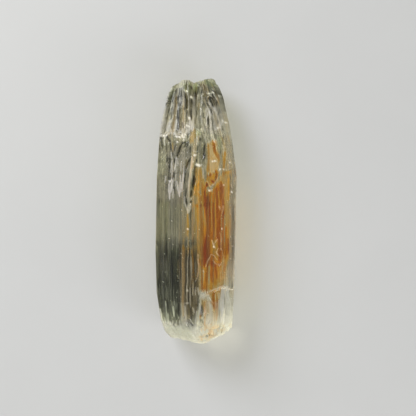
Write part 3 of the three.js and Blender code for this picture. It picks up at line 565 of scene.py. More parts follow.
# Areas: mask, amount, softness of the edge, and the corners of the outline
MARKED_AREAS = (
    # Frosted ledges, facets and flutes, with painted highlights where ledges and facets face the light
    ("frost", 0.34, 0.41, (-8.1, 19.3), (-7.5, 20.9), (-5.9, 20.2), (-5.4, 18.2), (-4.5, 17.8),
     (-3.7, 17.2), (-4.8, 17.1), (-6.4, 17.2), (-7.3, 16.9), (-8.2, 16.9)),
    ("frost", 0.6, 0.23, (-2.6, 18), (-2.3, 19.3), (-1.8, 19.9), (-1.1, 20.4), (-0.5, 19.7),
     (-0.3, 18.6), (-0.8, 18.2), (-1.4, 17.9), (-1.8, 17.3), (-2.3, 17.4)),
    ("frost", 0.25, 0.36, (-4, 6.2), (-3.4, 7.3), (-2.9, 6.4), (-2.9, 4.8), (-3, 3.7), (-3.4, 4.1),
     (-3.6, 3.4), (-4, 4.4), (-4.4, 5.5)),
    ("frost", 0.68, 0.18, (1, -19.9), (1.1, -21), (0.9, -22.9), (0.9, -26), (-0.2, -26), (-0.1, -24),
     (0.2, -22.4), (0.7, -20.8)),
    ("frost", 0.85, 0.25, (5.3, -24.7), (5.4, -20.6), (5.5, -17.2), (6.2, -17.1), (6.3, -25.1)),
    ("frost", 0.42, 0.27, (6.2, -17), (6.8, -16.8), (6.9, -20.6), (6.4, -25.1), (6.2, -21)),
    ("frost", 0.9, 0.32, (6.8, -16.9), (7.4, -17.4), (7.7, -19.2), (8.4, -21.5), (8.4, -25.1),
     (7.9, -26.4), (6.4, -26.4), (6.6, -22.4)),
    ("frost", 0.28, 0.32, (1.7, -18.6), (2.9, -18.3), (3, -26), (1.7, -26)),
    ("frost", 0.46, 0.27, (2.9, -19.9), (3.6, -19.9), (4, -21.5), (4.1, -26), (2.9, -26)),
    ("frost", 0.46, 0.36, (4.1, -20.1), (5.4, -19.2), (5.4, -26), (4, -26)),
    ("frost", 0.3, 0.5, (-3.4, -20.1), (-2.4, -20.1), (-1.4, -25.1), (-3.4, -25.1)),
    ("frost", 0.4, 0.27, (-6.8, -25.4), (-3.4, -25), (-0.2, -25.4), (0.9, -26.9), (-1.4, -27.4),
     (-6.4, -26.9)),
    ("frost", 0.25, 0.34, (3.9, 23.4), (5.4, 24.3), (6.1, 21.1), (5.7, 18.2), (4.1, 18.4)),
    ("frost", 0.24, 0.2, (-3.9, 28.4), (-2.9, 29.5), (-1.4, 29.5), (-0.5, 29), (0.7, 29.5),
     (2.7, 29.9), (4.1, 29.6), (4.8, 28.2), (3.6, 28.5), (2, 28.7), (0.7, 28.4), (-0.5, 28.2),
     (-1.8, 28.7), (-3.2, 28.3)),
    ("frost", 0.27, 0.36, (5.4, 25.7), (6.6, 24.3), (7.5, 21.1), (7.9, 17.3), (8.4, 13.9), (8.8, 9.8),
     (7.5, 9.3), (6.8, 13.9), (6.1, 21.8)),
    ("frost", 0.1, 0.27, (2.7, 14.8), (3.4, 15.2), (4.5, 12.1), (5, 9.8), (3.9, 8.8), (2.9, 8)),
    ("frost", 0.24, 0.2, (0.9, -18.1), (1.5, -17.9), (2, -18.5), (1.9, -19.2), (1.5, -19.7),
     (1.1, -19.6)),
    ("frost", 0.3, 0.23, (0.9, -17.4), (1.8, -17.3), (3.2, -17.5), (2.9, -18.4), (1.8, -18.5),
     (1.1, -18.7)),
    ("frost", -0.12, 0.23, (2.9, -18.8), (3.9, -18.6), (4.1, -20.4), (3.4, -20.8), (2.9, -19.7)),
    ("frost", 0.2, 0.45, (-5.7, -20.4), (-4.8, -19.7), (-3.9, -20.4), (-4.1, -21.5), (-5.2, -21.9)),
    # Painted shade of clear dark hollows; a negative amount lightens
    ("gloom", 0.35, 0.23, (0.5, 27.8), (1.1, 28.4), (2.3, 28.3), (2.3, 26.6), (1.6, 26.1), (0.7, 26.2)),
    ("gloom", 0.5, 0.23, (2.8, 25.7), (3.6, 26.2), (4.6, 25.7), (4.9, 24.3), (3.9, 23.5), (3.3, 24.3)),
    ("gloom", 0.1, 0.27, (-5.4, 15.7), (-4.5, 16.1), (-2.9, 15.5), (-1.8, 15.2), (-1.4, 13.9),
     (-1.8, 12.3), (-3.6, 11.2), (-5, 11.6), (-5.7, 13.9)),
    ("gloom", 0.16, 0.2, (1.1, 17.5), (1.8, 16.6), (2.4, 15.5), (2.6, 13.9), (2.5, 11.6), (1.6, 10.5),
     (0.5, 10.7), (0.2, 12.5), (0.5, 14.3), (0.9, 16.1)),
    ("gloom", 0.9, 0.11, (-1.6, -23.5), (-1.3, -23.5), (-0.5, -24.9), (-0.7, -25.3), (-1.5, -25.3)),
    ("gloom", 0.95, 0.09, (-0.4, 7.5), (0, 7.2), (-0.2, 6.2), (-0.3, 5.3), (-0.5, 4.7), (-0.7, 5.3),
     (-0.7, 6.8)),
    ("gloom", 0.12, 0.34, (-6.4, 16.8), (-5.4, 16.4), (-5.2, 13.9), (-6.4, 12.5), (-7.3, 13.9),
     (-6.8, 15.7)),
    ("gloom", 0.12, 0.45, (-2.3, 11.6), (-1.4, 11.6), (-1.8, 8), (-2.7, 4.8), (-2.7, 8.9)),
    ("gloom", -0.7, 0.23, (2.6, -17.9), (5.4, -17.4), (4.9, -21), (4.1, -21.5)),
    ("gloom", -0.62, 0.27, (2.5, 15.2), (3.4, 15.7), (4.5, 14.8), (5, 9.8), (3.9, 8.8), (2.9, 8)),
    ("gloom", -0.12, 0.27, (0.2, 9.6), (1.2, 9.6), (1.5, 7.1), (1.7, 4.4), (1.6, 2.1), (-0.3, 2.1),
     (0, 5.3), (0.2, 7.5)),
    ("gloom", -0.3, 0.23, (-9.4, -1.5), (-8.5, -1.5), (-8.5, -7.7), (-9.4, -7.7)),
    ("gloom", -1.4, 0.23, (-9.4, -7.7), (-8.4, -7.7), (-8.4, -17.4), (-7.8, -21.3), (-6.8, -25.8),
     (-7.9, -25.8), (-9.2, -20.1), (-9.4, -13.3)),
    ("gloom", -0.4, 0.36, (8.5, 2.5), (9.3, 5.7), (9.3, -4.7), (8.5, -1.1)),
    ("gloom", -0.45, 0.36, (8.4, -10.2), (9.3, -6.1), (8.9, -22), (8.1, -18.8)),
    ("gloom", -0.3, 0.32, (-5.9, 28.4), (-5, 28.2), (-6.4, 23.4), (-7.3, 18.9), (-8.7, 17.1),
     (-8.7, 20.7), (-7.5, 25.2)),
    ("gloom", -0.5, 0.18, (3.7, 16.5), (4.3, 15.9), (4.6, 14.8), (4.4, 13.9), (3.9, 14.1), (3.6, 15)),
    ("gloom", 0.15, 0.32, (2.7, -9.9), (3.4, -9.4), (4.2, -9.9), (4, -11.3), (2.9, -11.5)),
    ("gloom", 0.3, 0.36, (1.4, 13.9), (2.3, 14.3), (2.9, 13.4), (2.5, 12.1), (1.6, 11.9)),
    ("gloom", 0.25, 0.45, (-4.1, -7.9), (-3.4, -6.8), (-2.8, -7.9), (-2.8, -12.4), (-3.4, -13.8),
     (-4, -12.7)),
    ("gloom", 0.25, 0.36, (0, 26.4), (0.7, 26.9), (1.4, 26.1), (1.1, 24.8), (0.2, 24.5)),
    ("gloom", 0.2, 0.54, (-7, 6.4), (-5.7, 7.2), (-4.1, 6.6), (-4.3, 5), (-5.9, 4.4), (-6.8, 5)),
    ("gloom", 0.2, 0.41, (-8, 8.2), (-7.5, 8.9), (-6.8, 8.2), (-6.9, 6.8), (-7.7, 6.4)),
    ("gloom", 0.2, 0.36, (-2.7, 13.7), (-2, 14.3), (-1.4, 13.7), (-1.5, 12.3), (-2.5, 11.8)),
    ("gloom", 0.3, 0.36, (2, 4.6), (3.4, 4.4), (3.4, 1.6), (2, 1.2)),
    # The iron-stained field, from the ledge down to the foot
    ("stain", 0.12, 0.27, (2.7, 25.7), (3.6, 26.1), (5, 25.7), (5, 23.9), (3.9, 23.4)),
    ("stain", 0.25, 0.2, (-0.4, 18.4), (-0.1, 17.7), (-0.2, 16.6), (-0.6, 15.7), (-1.2, 15),
     (-1.7, 15.7), (-1.2, 16.8), (-0.9, 17.7)),
    ("stain", 0.18, 0.18, (0.6, 17.1), (0.8, 16.1), (0.4, 15), (0.2, 13.4), (0.2, 12.1), (-0.2, 10.9),
     (-0.3, 9.8), (-1, 9.8), (-0.7, 11.6), (-0.8, 13.4), (-0.4, 15), (0.2, 16.1)),
    ("stain", 0.15, 0.18, (3.9, 16.6), (4.3, 15.9), (4.6, 15), (4.6, 14.1), (4.7, 13.3), (5, 12.5),
     (4.8, 11.9), (4.3, 12.8), (3.9, 13.7), (3.6, 14.7), (3.6, 15.8)),
    ("stain", 0.28, 0.27, (2.4, 15.2), (3.2, 15.6), (3.6, 15.9), (4.3, 15.7), (4.7, 13.9),
     (5.1, 12.3), (5.3, 11.6), (5.2, 10.3), (4.8, 9.3), (4, 8.7), (2.9, 7.7), (2.5, 9.3), (2.6, 11.2),
     (2.4, 13.2)),
    ("stain", 0.12, 0.27, (4.8, 15.9), (5.6, 15.2), (5.9, 12.5), (5.4, 11.6), (4.9, 13.4)),
    ("stain", 0.17, 0.5, (6.1, 17.3), (7.3, 17.1), (8.4, 13.9), (8.6, 8.9), (5.7, 8), (5.7, 12.1)),
    ("stain", 0.36, 0.27, (2.7, 8), (3.5, 8.5), (4.3, 9.1), (5.2, 9.2), (5, 8), (4.5, 7), (3.9, 6.1),
     (3.2, 5.6), (2.5, 5.5), (2.1, 6.6), (2.4, 7.5)),
    ("stain", 0.2, 0.27, (0, 9.8), (0.5, 10.1), (1.3, 10.1), (1.7, 8.4), (2.2, 6.2), (2.3, 3.9),
     (2, 1.2), (-0.7, 1.2), (-0.6, 2.5), (-0.4, 3.9), (-0.1, 5.7), (0.1, 7.5), (-0.2, 8.9)),
    ("stain", 0.26, 0.36, (2, 5.7), (3.6, 4.8), (5, 7.5), (5.9, 9.1), (7.7, 9.1), (7.7, 2.5),
     (7.7, -8.8), (6.8, -12.4), (6.1, -16.7), (2.7, -17.6), (1.6, -17.6), (1.8, -11.5), (2, -6.5)),
    ("stain", 0.2, 0.36, (1.9, 4.4), (3.6, 4.4), (5.2, 6.8), (6.1, 5.7), (6.4, -3.4), (6.4, -9.3),
     (5.4, -12), (3.2, -12), (1.6, -12.4), (1.7, -6.5)),
    ("stain", -0.12, 0.32, (3.2, -6.5), (4.1, -6), (5, -6.5), (5.2, -9.3), (4.8, -11.3), (3.4, -10.4)),
    ("stain", 0.22, 0.36, (-0.1, 1.4), (2, 1.6), (2.3, -11.5), (1.6, -12.4), (0.8, -11.5), (0.1, -6.5)),
    ("stain", 0.22, 0.36, (0.7, 1.6), (2, 1.6), (2.3, -10.6), (1.1, -11.5)),
    ("stain", 0.14, 0.23, (1, 9.8), (1.6, 8.9), (2.1, 6.6), (2.3, 3.9), (2.2, 1.2), (1.1, 1.2),
     (0.9, 4.8)),
    ("stain", 0.17, 0.32, (0.7, -10.6), (2.5, -10.6), (2.5, -17.6), (0.7, -17.6)),
    ("stain", 0.1, 0.59, (-3, 1.2), (-1.8, 0.3), (-1.8, -5.6), (-2.9, -5.6)),
    ("stain", 0.1, 0.59, (-2.3, 1.6), (0.2, 1.2), (0.2, -6.1), (-2.7, -6.1)),
    ("stain", 0.16, 0.68, (-3.2, -7.9), (0.2, -7.4), (0.5, -11.5), (0.7, -17.9), (0, -22.4),
     (-0.9, -23.3), (-2.9, -25.1), (-3.3, -20.1)),
    ("stain", 0.24, 0.27, (2.5, -17.8), (5.4, -17.3), (5.5, -18.8), (5.1, -19.7), (4.9, -21),
     (4.3, -21.5), (3.9, -20.8), (3.5, -19.5), (2.7, -18.5)),
    ("stain", 0.17, 0.5, (1.1, -19.2), (4.8, -19.7), (5, -25.1), (1.6, -25.1)),
    ("stain", 0.12, 0.23, (3.9, -20.8), (4.9, -20.8), (4.9, -24.2), (3.9, -24.2)),
    ("stain", 0.1, 0.27, (1.6, -17.4), (5.7, -16.6), (5.7, -17.9), (1.8, -18.8)),
    ("stain", 0.1, 0.32, (0.9, -11.5), (3.9, -11.5), (4.5, -13.3), (4.7, -16.1), (3.2, -17),
     (0.9, -17.4)),
    ("stain", 0.08, 0.32, (4.1, -11.5), (5.9, -11.5), (5.7, -15.2), (4.5, -16.5)),
    ("stain", 0.07, 0.36, (5.9, -10.6), (8.2, 1.6), (8.3, -16.5), (5.9, -16.7)),
    ("stain", 0.3, 0.54, (0.2, -27.2), (2, -25.4), (4.5, -25.1), (6.8, -26.3), (5, -28.3),
     (2.7, -29.7), (0.7, -29.7)),
    ("stain", 0.07, 0.23, (2.9, -18.8), (3.9, -18.3), (4.2, -20.4), (3.4, -20.8), (2.9, -19.7)),
    ("stain", 0.12, 0.32, (2.7, -9.9), (3.4, -9.4), (4.2, -9.9), (4, -11.3), (2.9, -11.5)),
    ("stain", 0.1, 0.27, (1.5, -18.8), (2.7, -18.6), (3.2, -20.6), (3.2, -22.6), (1.8, -22.6)),
    # Where the beryl's own green shows
    ("green", 0.75, 0.27, (-0.8, 28.4), (-0.5, 28.8), (0.2, 28.8), (0.5, 27.9), (0.2, 26.4),
     (-0.4, 26.4), (-0.7, 27.5)),
    ("green", 0.55, 0.36, (-2.9, 28.4), (-1.8, 28.8), (-0.8, 28.4), (-0.9, 27), (-1.8, 26.7),
     (-2.7, 27.3)),
    ("green", 0.55, 0.36, (0.7, 29.3), (2.3, 30), (4.5, 29.8), (4.9, 28.4), (2.5, 28.4), (0.9, 28.7)),
    ("green", 0.4, 0.41, (-6, 27.7), (-4.8, 28.2), (-4.5, 26.6), (-5.4, 24.5), (-6.2, 25.4)),
    ("green", 0.3, 0.32, (-0.2, 18.4), (0.5, 18.2), (1.5, 17.5), (0.7, 16.7), (-0.2, 17.1)),
    ("green", 0.12, 0.45, (-8.6, 12.5), (-6.4, 12.5), (-6.4, 8.2), (-8.6, 8.2)),
    ("green", 0.25, 0.68, (-8.6, 2.5), (-5.9, 2.5), (-5.9, -7.4), (-8.6, -7.4)),
    ("green", 0.3, 0.68, (-8.8, -7.9), (-3.4, -7.9), (-3.4, -24.2), (-7.5, -24.2), (-8.8, -17.9)),
    ("green", 0.12, 0.68, (-7.3, -25.1), (-1.4, -25.1), (-0.5, -29.2), (-6.4, -28.3)),
    ("green", 0.4, 0.45, (4.8, 16.6), (5.7, 16.6), (5.9, 13.9), (5, 13.9)),
    # Painted lilac sheen of the etched skin
    ("cool", 0.7, 0.57, (-6.4, 13.9), (-4.1, 14.8), (-0.9, 13.9), (-1.4, 8), (-1.8, 2.5), (-5, 1.6),
     (-6.8, 2.5), (-6.8, 8)),
    ("cool", 0.6, 0.57, (1.8, 25.2), (4.5, 24.3), (5.9, 22.5), (6.1, 18), (3.2, 17.5), (1.6, 18.9)),
    ("cool", 0.5, 0.45, (-8.2, 19.8), (-4.5, 20.7), (-0.5, 20.2), (-0.2, 17.5), (-3.6, 16.4),
     (-8.2, 16.6)),
    ("cool", 0.15, 0.68, (-4.5, 27), (-1.4, 25.2), (-1.8, 21.1), (-5.4, 19.8), (-6.4, 23)),
    ("cool", 0.35, 0.36, (5.4, -17.4), (6.3, -17.4), (6.3, -25.1), (5.4, -25.1)),
)


# ---- Small tools ----
def lerp(a, b, share):
    """a, moved towards b by a share of the way."""
    return a + (b - a) * share


def smooth(x, low, high):
    """0 below low, 1 above high, and between them a cubic that starts and ends level."""
    t = np.clip((x - low) / (high - low), 0.0, 1.0)
    return t * t * (3 - 2 * t)


def chance(n):
    """A repeatable number from 0 to 1 for a whole number: the fraction of a large sine."""
    s = np.sin(n * 12.9898 + 4.1414) * 43758.5453
    return s - np.floor(s)


def noise(at):
    """Smooth noise from 0 to 1 along a line: the chances of whole numbers, joined by cubics."""
    cell = np.floor(at)
    return lerp(chance(cell), chance(cell + 1), smooth(at - cell, 0, 1))


def noise2(a, b):
    """Smooth noise over a plane: lines of noise a row apart, joined by cubics."""
    row = np.floor(b)
    return lerp(noise(a + row * 57), noise(a + (row + 1) * 57), smooth(b - row, 0, 1))


def ridges(a, b):
    """Noise folded at its middle, so that it has sharp crests at 1."""
    return 1 - np.abs(2 * noise2(a, b) - 1)


def sway(share, width):
    """Noise from 0 to 1, turned into a swing of a whole width about 0."""
    return width * (share - 0.5)


def streaks(rows, x, y):
    """The sum of lengthwise streaks: each is widest at its middle and runs out to two points."""
    total = np.zeros(np.broadcast(x, y).shape)
    for middle_x, lean, foot, head, half_width, amount in rows:
        middle = (foot + head) / 2
        ends = np.clip(1 - ((y - middle) / ((head - foot) / 2)) ** 2, 0, 1)
        off = np.abs(x - middle_x - lean * (y - middle)) / (half_width * np.sqrt(ends) + 1e-6)
        total += amount * np.clip(1 - off, 0, 1) * np.minimum(1, 2 * ends)
    return total


# ---- The section ----
def corners(y):
    """The nine corners of the section at y, stacked first: a vertex-up hexagon whose upper, lower
    and right-hand edges are bevelled, between flanks that are straight lines through the stations."""
    left, right, crown, lift = (np.interp(y, STATIONS[:, 0], STATIONS[:, i]) for i in range(1, 5))
    half = RESTING_HALF * np.minimum(1, (right - left) / FULL_WIDTH)
    bevel_x = right - BEVEL_WIDTH
    bevel_z = crown - (bevel_x - CROWN_RIGHT) * PRISM_SLOPE
    x = [CROWN_RIGHT + 0 * y, CROWN_LEFT + 0 * y, left, left, -half, half, right, right, bevel_x]
    z = [
        crown,
        crown,
        crown - (CROWN_LEFT - left) * PRISM_SLOPE,
        lift + (-half - left) * PRISM_SLOPE,
        lift,
        lift,
        lift + (right - half) * PRISM_SLOPE,
        bevel_z - BEVEL_WIDTH * BEVEL_SLOPE,
        bevel_z,
    ]
    return np.stack(x), np.stack(z)


def band_of(u):
    """The band that a column coordinate is on, and how far along it."""
    band = np.searchsorted(BAND_STARTS, u, side="right") - 1
    return band, (u - BAND_STARTS[band]) / BAND_COLUMNS[band]


def plain_wall(u, y):
    """The point of the uncut wall at column u and place y, and its outward direction: a straight
    line between the two corners of its band. Within a column of a corner the direction turns
    towards the next band's, and is halfway there at the corner."""
    band, along = band_of(u)
    ring_x, ring_z = corners(y)
    step_x, step_z = np.roll(ring_x, -1, 0) - ring_x, np.roll(ring_z, -1, 0) - ring_z
    length = np.hypot(step_x, step_z)
    band = np.broadcast_to(band, y.shape)
    beside = (band + np.where(along < 0.5, -1, 1)) % len(BANDS)

    def pick(values, which):
        """The value of one band at each place."""
        return np.take_along_axis(values, which[None], 0)[0]

    turned = 0.5 - 0.5 * np.minimum(1, np.minimum(along, 1 - along) * BAND_COLUMNS[band])
    facing_x = lerp(pick(step_z / length, band), pick(step_z / length, beside), turned)
    facing_z = lerp(pick(-step_x / length, band), pick(-step_x / length, beside), turned)
    size = np.hypot(facing_x, facing_z)
    x = pick(ring_x, band) + along * pick(step_x, band)
    z = pick(ring_z, band) + along * pick(step_z, band)
    return x, z, facing_x / size, facing_z / size


def arc_of(u):
    """How far round the section a column is, in millimetres, measured halfway along the crystal."""
    ring_x, ring_z = corners(np.zeros(1))
    lengths = np.hypot(np.roll(ring_x, -1) - ring_x, np.roll(ring_z, -1) - ring_z)[:, 0]
    starts = np.concatenate(([0], np.cumsum(lengths)[:-1]))
    band, along = band_of(u)
    return starts[band] + along * lengths[band]


def upper_share(arc):
    """1 on the bands that face up, and down to 0 over the first stretch of each side."""
    first_below, last_below = BAND_NAMES.index("left side"), BAND_NAMES.index("bevel")
    left_corner, right_corner = arc_of(BAND_STARTS[[first_below, last_below]])
    return 1 - smooth(np.minimum(arc - left_corner, right_corner - arc), 0, UPPER_FADE)


# ---- What is cut into the walls, as depths in millimetres ----
def column_striae(number, y):
    """The striae of the solid's columns: a depth for each column, which drifts along the crystal,
    deepens on the head, less than in the solid, and fades over its rim."""
    band, along = band_of(number)
    drift = noise2(number * 1.7, y / 9)
    head = 0.9 * smooth(y, 14, 22) * (1 - 0.8 * smooth(y, 26, 29.5))
    share = np.where(along == 0, EDGE_SHARE, 1.0)
    share = np.where((band == RESTING + 1) & (along == 0), 0.0, share)
    return BAND_STRIAE[band] * share * chance(number) * (0.45 + 0.55 * drift + head)


def upper_ledge(x, y):
    """The skin sinks above a jagged line across the upper side, at once on the left and over a
    longer stretch on the right."""
    edge = np.interp(x, UPPER_LEDGE[:, 0], UPPER_LEDGE[:, 1])
    edge = edge + sway(noise2(x * 2.3, 5), 0.5)
    faded = 1 - smooth(x, 2.4, 5.5) * (1 - smooth(y, 14, 20))
    return UPPER_DROP * smooth(y, edge, edge + UPPER_RUN) * faded


def lower_patch(x, y):
    """Below a second jagged line, on the right near the foot, the skin drops to an etched patch."""
    edge = np.interp(x, LOWER_LEDGE[:, 0], LOWER_LEDGE[:, 1])
    edge = edge + sway(noise2(x * 2.1 + 9, 2), 0.5)
    rough = 0.55 + 0.75 * noise2(x * 1.3 + 11, y / 2.6)
    return LOWER_DROP * rough * (1 - smooth(y, edge - LOWER_RUN, edge)) * smooth(x, -0.6, 0.4)


def pit(x, y):
    """An oval pit in the right lobe of the tip, with zigzag steps in its floor."""
    across = (x - PIT_X + PIT_LEAN * (y - PIT_Y)) / PIT_HALF_WIDTH
    along = (y - PIT_Y) / PIT_HALF_LENGTH
    bowl = np.maximum(0, 1 - across**2 - along**2)
    steps = np.abs(((y * 0.9 + np.abs(across) * 0.8) % 1.0) - 0.5)
    return PIT_DEPTH * bowl + PIT_STEP * steps * smooth(bowl, 0.05, 0.4)


def fine_relief(arc, y, faces_up):
    """Small relief that the solid leaves out: three widths of striae along the whole crystal, deep
    flowing furrows on the head, shallow ones under the ledge, and grain towards the foot."""
    coarse = noise2(arc * 2.9 + 7, y / 13)
    fine = noise2(arc * 7.3 + 31, y / 7)
    hair = ridges(arc * 5.1 + 3, y / 10) ** 3
    along = 0.09 * coarse + 0.04 * fine + 0.05 * hair
    warp = 0.9 * noise2(arc * 0.6 + 13, y * 0.3)
    furrow = ridges(arc * 1.7 + warp, y * 0.22 + 4)
    furrow_fine = ridges(arc * 3.9 + 1.7 * warp, y * 0.4 + 9)
    head = smooth(y, HEAD_STARTS, 19.5)
    flow = smooth(y, 2.5, 9) * (1 - head) * faces_up
    grain = noise2(arc * 2.6, y * 2.3) + 0.5 * noise2(arc * 6.1, y * 5.7)
    near_foot = 1 - smooth(y, -26.5, -23.0)
    return (
        along
        + head * (0.26 * furrow**2 + 0.12 * furrow_fine)
        + flow * (0.16 * furrow**2 + 0.07 * furrow_fine)
        + 0.16 * near_foot * grain
    )


def cut_back(u, arc, x, y):
    """How far the wall lies behind its plain place. The face that it lies on stays flat until the
    underside lifts."""
    low = np.floor(u)
    high = (low + 1) % COLUMNS
    band, along = band_of(u)
    own = lerp(column_striae(low, y), column_striae(high, y), u - low)
    faces_up = BAND_FACES_UP[band].astype(float)
    to_corner = np.minimum(along, 1 - along) * BAND_COLUMNS[band]
    share = lerp(EDGE_SHARE, 1.0, np.minimum(1, to_corner * 1.5))
    share = np.maximum(share, faces_up * smooth(y, 13, 17))
    on_top = streaks(CLEFTS, x, y) * share + upper_ledge(x, y) + lower_patch(x, y) + pit(x, y)
    relief = fine_relief(arc, y, faces_up) * share
    lies = (band == RESTING) | ((band == RESTING + 1) & (along == 0))
    flat = np.where(lies & (y < 8), 0.0, 1.0)
    return own + (relief + faces_up * on_top) * flat


# ---- The two ends, as heights along Y over the section ----
def tip_height(x, z):
    """The tip's outline across X, rounded off above and below, with low bumps and etched steps."""
    above = np.maximum(0, z - TIP_UPRIGHT[1])
    below = np.maximum(0, TIP_UPRIGHT[0] - z)
    bumps = sway(noise2(x * 0.9 + 3, z * 0.8), 0.7) * np.clip((above + below) / 2, 0, 1)
    small = sway(noise2(x * 2.6 + 5, z * 2.4), 0.22) + sway(noise2(x * 6.0, z * 6.3), 0.08)
    outline = np.interp(x, TIP_OUTLINE[:, 0], TIP_OUTLINE[:, 1])
    return outline - 0.09 * above**2 - 0.07 * below**2 + bumps + small - TIP_INSET


def foot_height(x, z):
    """The foot's outline across X, sloped back above and below, with shells of the break and
    grain over it."""
    above = np.maximum(0, z - FOOT_UPRIGHT[1])
    below = np.maximum(0, FOOT_UPRIGHT[0] - z)
    shells = 0.8 * noise2(x * 0.5 + 20, z * 0.55) * np.clip((above + below) / 3, 0, 1)
    ripple = 0.3 * noise2(x * 1.3 + 2, z * 1.1) + 0.2 * ridges(x * 0.8 + z * 0.5, z * 0.9 + 4)
    grain = 0.16 * noise2(x * 3.4, z * 3.1) + 0.08 * noise2(x * 7.2, z * 6.9)
    outline = np.interp(x, FOOT_OUTLINE[:, 0], FOOT_OUTLINE[:, 1]) - FOOT_RELIEF
    return outline + 0.09 * above**2 + 0.06 * below**2 + shells + ripple + grain


# ---- The skin as a grid of rings ----
def rim_height(u, height_over, guess):
    """Where each column meets an end: the end's height over the section near that end, worked out
    twice, the second time over the section that the first one found."""
    x, z, _, _ = plain_wall(u, np.full(u.shape, guess))
    x, z, _, _ = plain_wall(u, height_over(x, z))
    return height_over(x, z)


def cap_rings(rim, height_over, count):
    """Rings from a rim in to its middle, close together at the rim, on the end's height map."""
    middle = rim.mean(0)
    share = 1 - (np.arange(1, count + 1) / (count + 1)) ** CAP_CROWDING
    xz = lerp(middle[[0, 2]], rim[None][:, :, [0, 2]], share[:, None, None])
    x, z = xz[..., 0], xz[..., 1]
    blend = smooth(1 - share, 0, CAP_BLEND)[:, None]
    y = lerp(rim[None, :, 1], height_over(x, z), blend)
    return np.stack((x, y, z), -1)


def skin_columns(split_above, split_below):
    """The column coordinates round the skin: each column of the solid is split evenly, into one
    count of parts where it faces up and another elsewhere."""
    splits = np.where(BAND_FACES_UP, split_above, split_below)
    return np.concatenate([
        start + np.arange(count * split) / split
        for start, count, split in zip(BAND_STARTS, BAND_COLUMNS, splits)
    ])


def skin_rings(u, rows, rings):
    """All the rings of the skin, from the foot's middle out, along the walls, and in to the tip's
    middle, and the arc of every column."""
    arc = arc_of(u)
    feet = rim_height(u, foot_height, -RIM_GUESS)
    tips = rim_height(u, tip_height, RIM_GUESS)
    y = lerp(feet[None], tips[None], np.linspace(0, 1, rows)[:, None])
    x, z, facing_x, facing_z = plain_wall(u, y)
    depth = cut_back(u, arc, x, y)
    wall = np.stack((x - facing_x * depth, y, z - facing_z * depth), -1)
    foot = cap_rings(wall[0], foot_height, rings)[::-1]
    tip = cap_rings(wall[-1], tip_height, rings)
    return np.concatenate((foot, wall, tip)), arc


def closed_skin(shape):
    """The points of the closed skin, with their arcs, how far each faces up and whether it is on an
    end, and the quads and triangles between them."""
    columns = skin_columns(shape.split_above, shape.split_below)
    rings, arc = skin_rings(columns, shape.rows, shape.cap_rings)
    around = rings.shape[1]
    foot, tip = rings[0].mean(0), rings[-1].mean(0)
    foot[1] = foot_height(foot[0], foot[2])
    tip[1] = tip_height(tip[0], tip[2])
    points = np.concatenate((rings.reshape(-1, 3), foot[None], tip[None]))
    arcs = np.concatenate((np.tile(arc, len(rings)), [0.0, 0.0]))
    on_end = np.zeros(len(rings))
    on_end[: shape.cap_rings] = on_end[-shape.cap_rings :] = 1
    on_end = np.concatenate((np.repeat(on_end, around), [1.0, 1.0]))
    faces_up = np.concatenate((np.tile(upper_share(arc), len(rings)), [0.0, 0.0]))
    faces_up = lerp(faces_up, smooth(points[:, 2], *END_TURNS), on_end)
    return points, arcs, faces_up, on_end, closed_faces(len(rings), around)


def put_in_place(points):
    """The points, centred on the solid's box and set down on the plane that it lies on."""
    low, high = points.min(0), points.max(0)
    middle = np.array(CAD_LOW + CAD_HIGH) / 2 / MM
    points = points + (middle - (low + high) / 2)
    points[:, 2] -= points[:, 2].min() - CAD_LOW.z / MM
    return points


def closed_faces(ring_count, around):
    """Quads between the rings, and a fan of triangles over the pole at each end."""
    ring, step = np.meshgrid(np.arange(ring_count - 1), np.arange(around), indexing="ij")
    a = ring * around + step
    b = ring * around + (step + 1) % around
    quads = np.stack((a, a + around, b + around, b), -1).reshape(-1, 4)
    first = np.arange(around)
    after = (first + 1) % around
    foot_pole = np.full(around, ring_count * around)
    last = (ring_count - 1) * around
    foot_fan = np.stack((foot_pole, first, after), -1)
    tip_fan = np.stack((foot_pole + 1, last + after, last + first), -1)
    return quads, np.concatenate((foot_fan, tip_fan))


def mesh_from_arrays(name, points, quads, triangles):
    """A mesh whose points and faces are put in as whole arrays, in metres."""
    mesh = bpy.data.meshes.new(name)
    mesh.vertices.add(len(points))
    mesh.vertices.foreach_set("co", (points * MM).astype(np.float32).ravel())
    corners_of = np.concatenate((quads.ravel(), triangles.ravel()))
    totals = np.concatenate((np.full(len(quads), 4), np.full(len(triangles), 3)))
    starts = np.concatenate(([0], np.cumsum(totals)[:-1]))
    mesh.loops.add(len(corners_of))
    mesh.loops.foreach_set("vertex_index", corners_of.astype(np.int32))
    mesh.polygons.add(len(totals))
    mesh.polygons.foreach_set("loop_start", starts.astype(np.int32))
    mesh.polygons.foreach_set("use_smooth", np.ones(len(totals), bool))
    mesh.update(calc_edges=True)
    mesh.validate()
    return mesh


# ---- Marks drawn on the upper side ----
STROKE_REACH = 1.6  # how far past its points a stroke may reach, in half widths
AREA_REACH = 1  # how far past its soft edge an area's raggedness may reach, in millimetres


def beside_line(x, y, points):
    """How far each place is from a line of straight pieces, and how far along the line, from 0 to
    1, its nearest point lies."""
    points = np.array(points)
    steps = np.diff(points, axis=0)
    lengths = np.hypot(steps[:, 0], steps[:, 1])
    starts = np.concatenate(([0], np.cumsum(lengths)[:-1]))
    nearest = np.full(x.shape, np.inf)
    along = np.zeros(x.shape)
    for (from_x, from_y), (step_x, step_y), length, start in zip(points, steps, lengths, starts):
        share = np.clip(((x - from_x) * step_x + (y - from_y) * step_y) / length**2, 0, 1)
        distance = np.hypot(x - from_x - share * step_x, y - from_y - share * step_y)
        along = np.where(distance < nearest, (start + share * length) / lengths.sum(), along)
        nearest = np.minimum(nearest, distance)
    return nearest, along


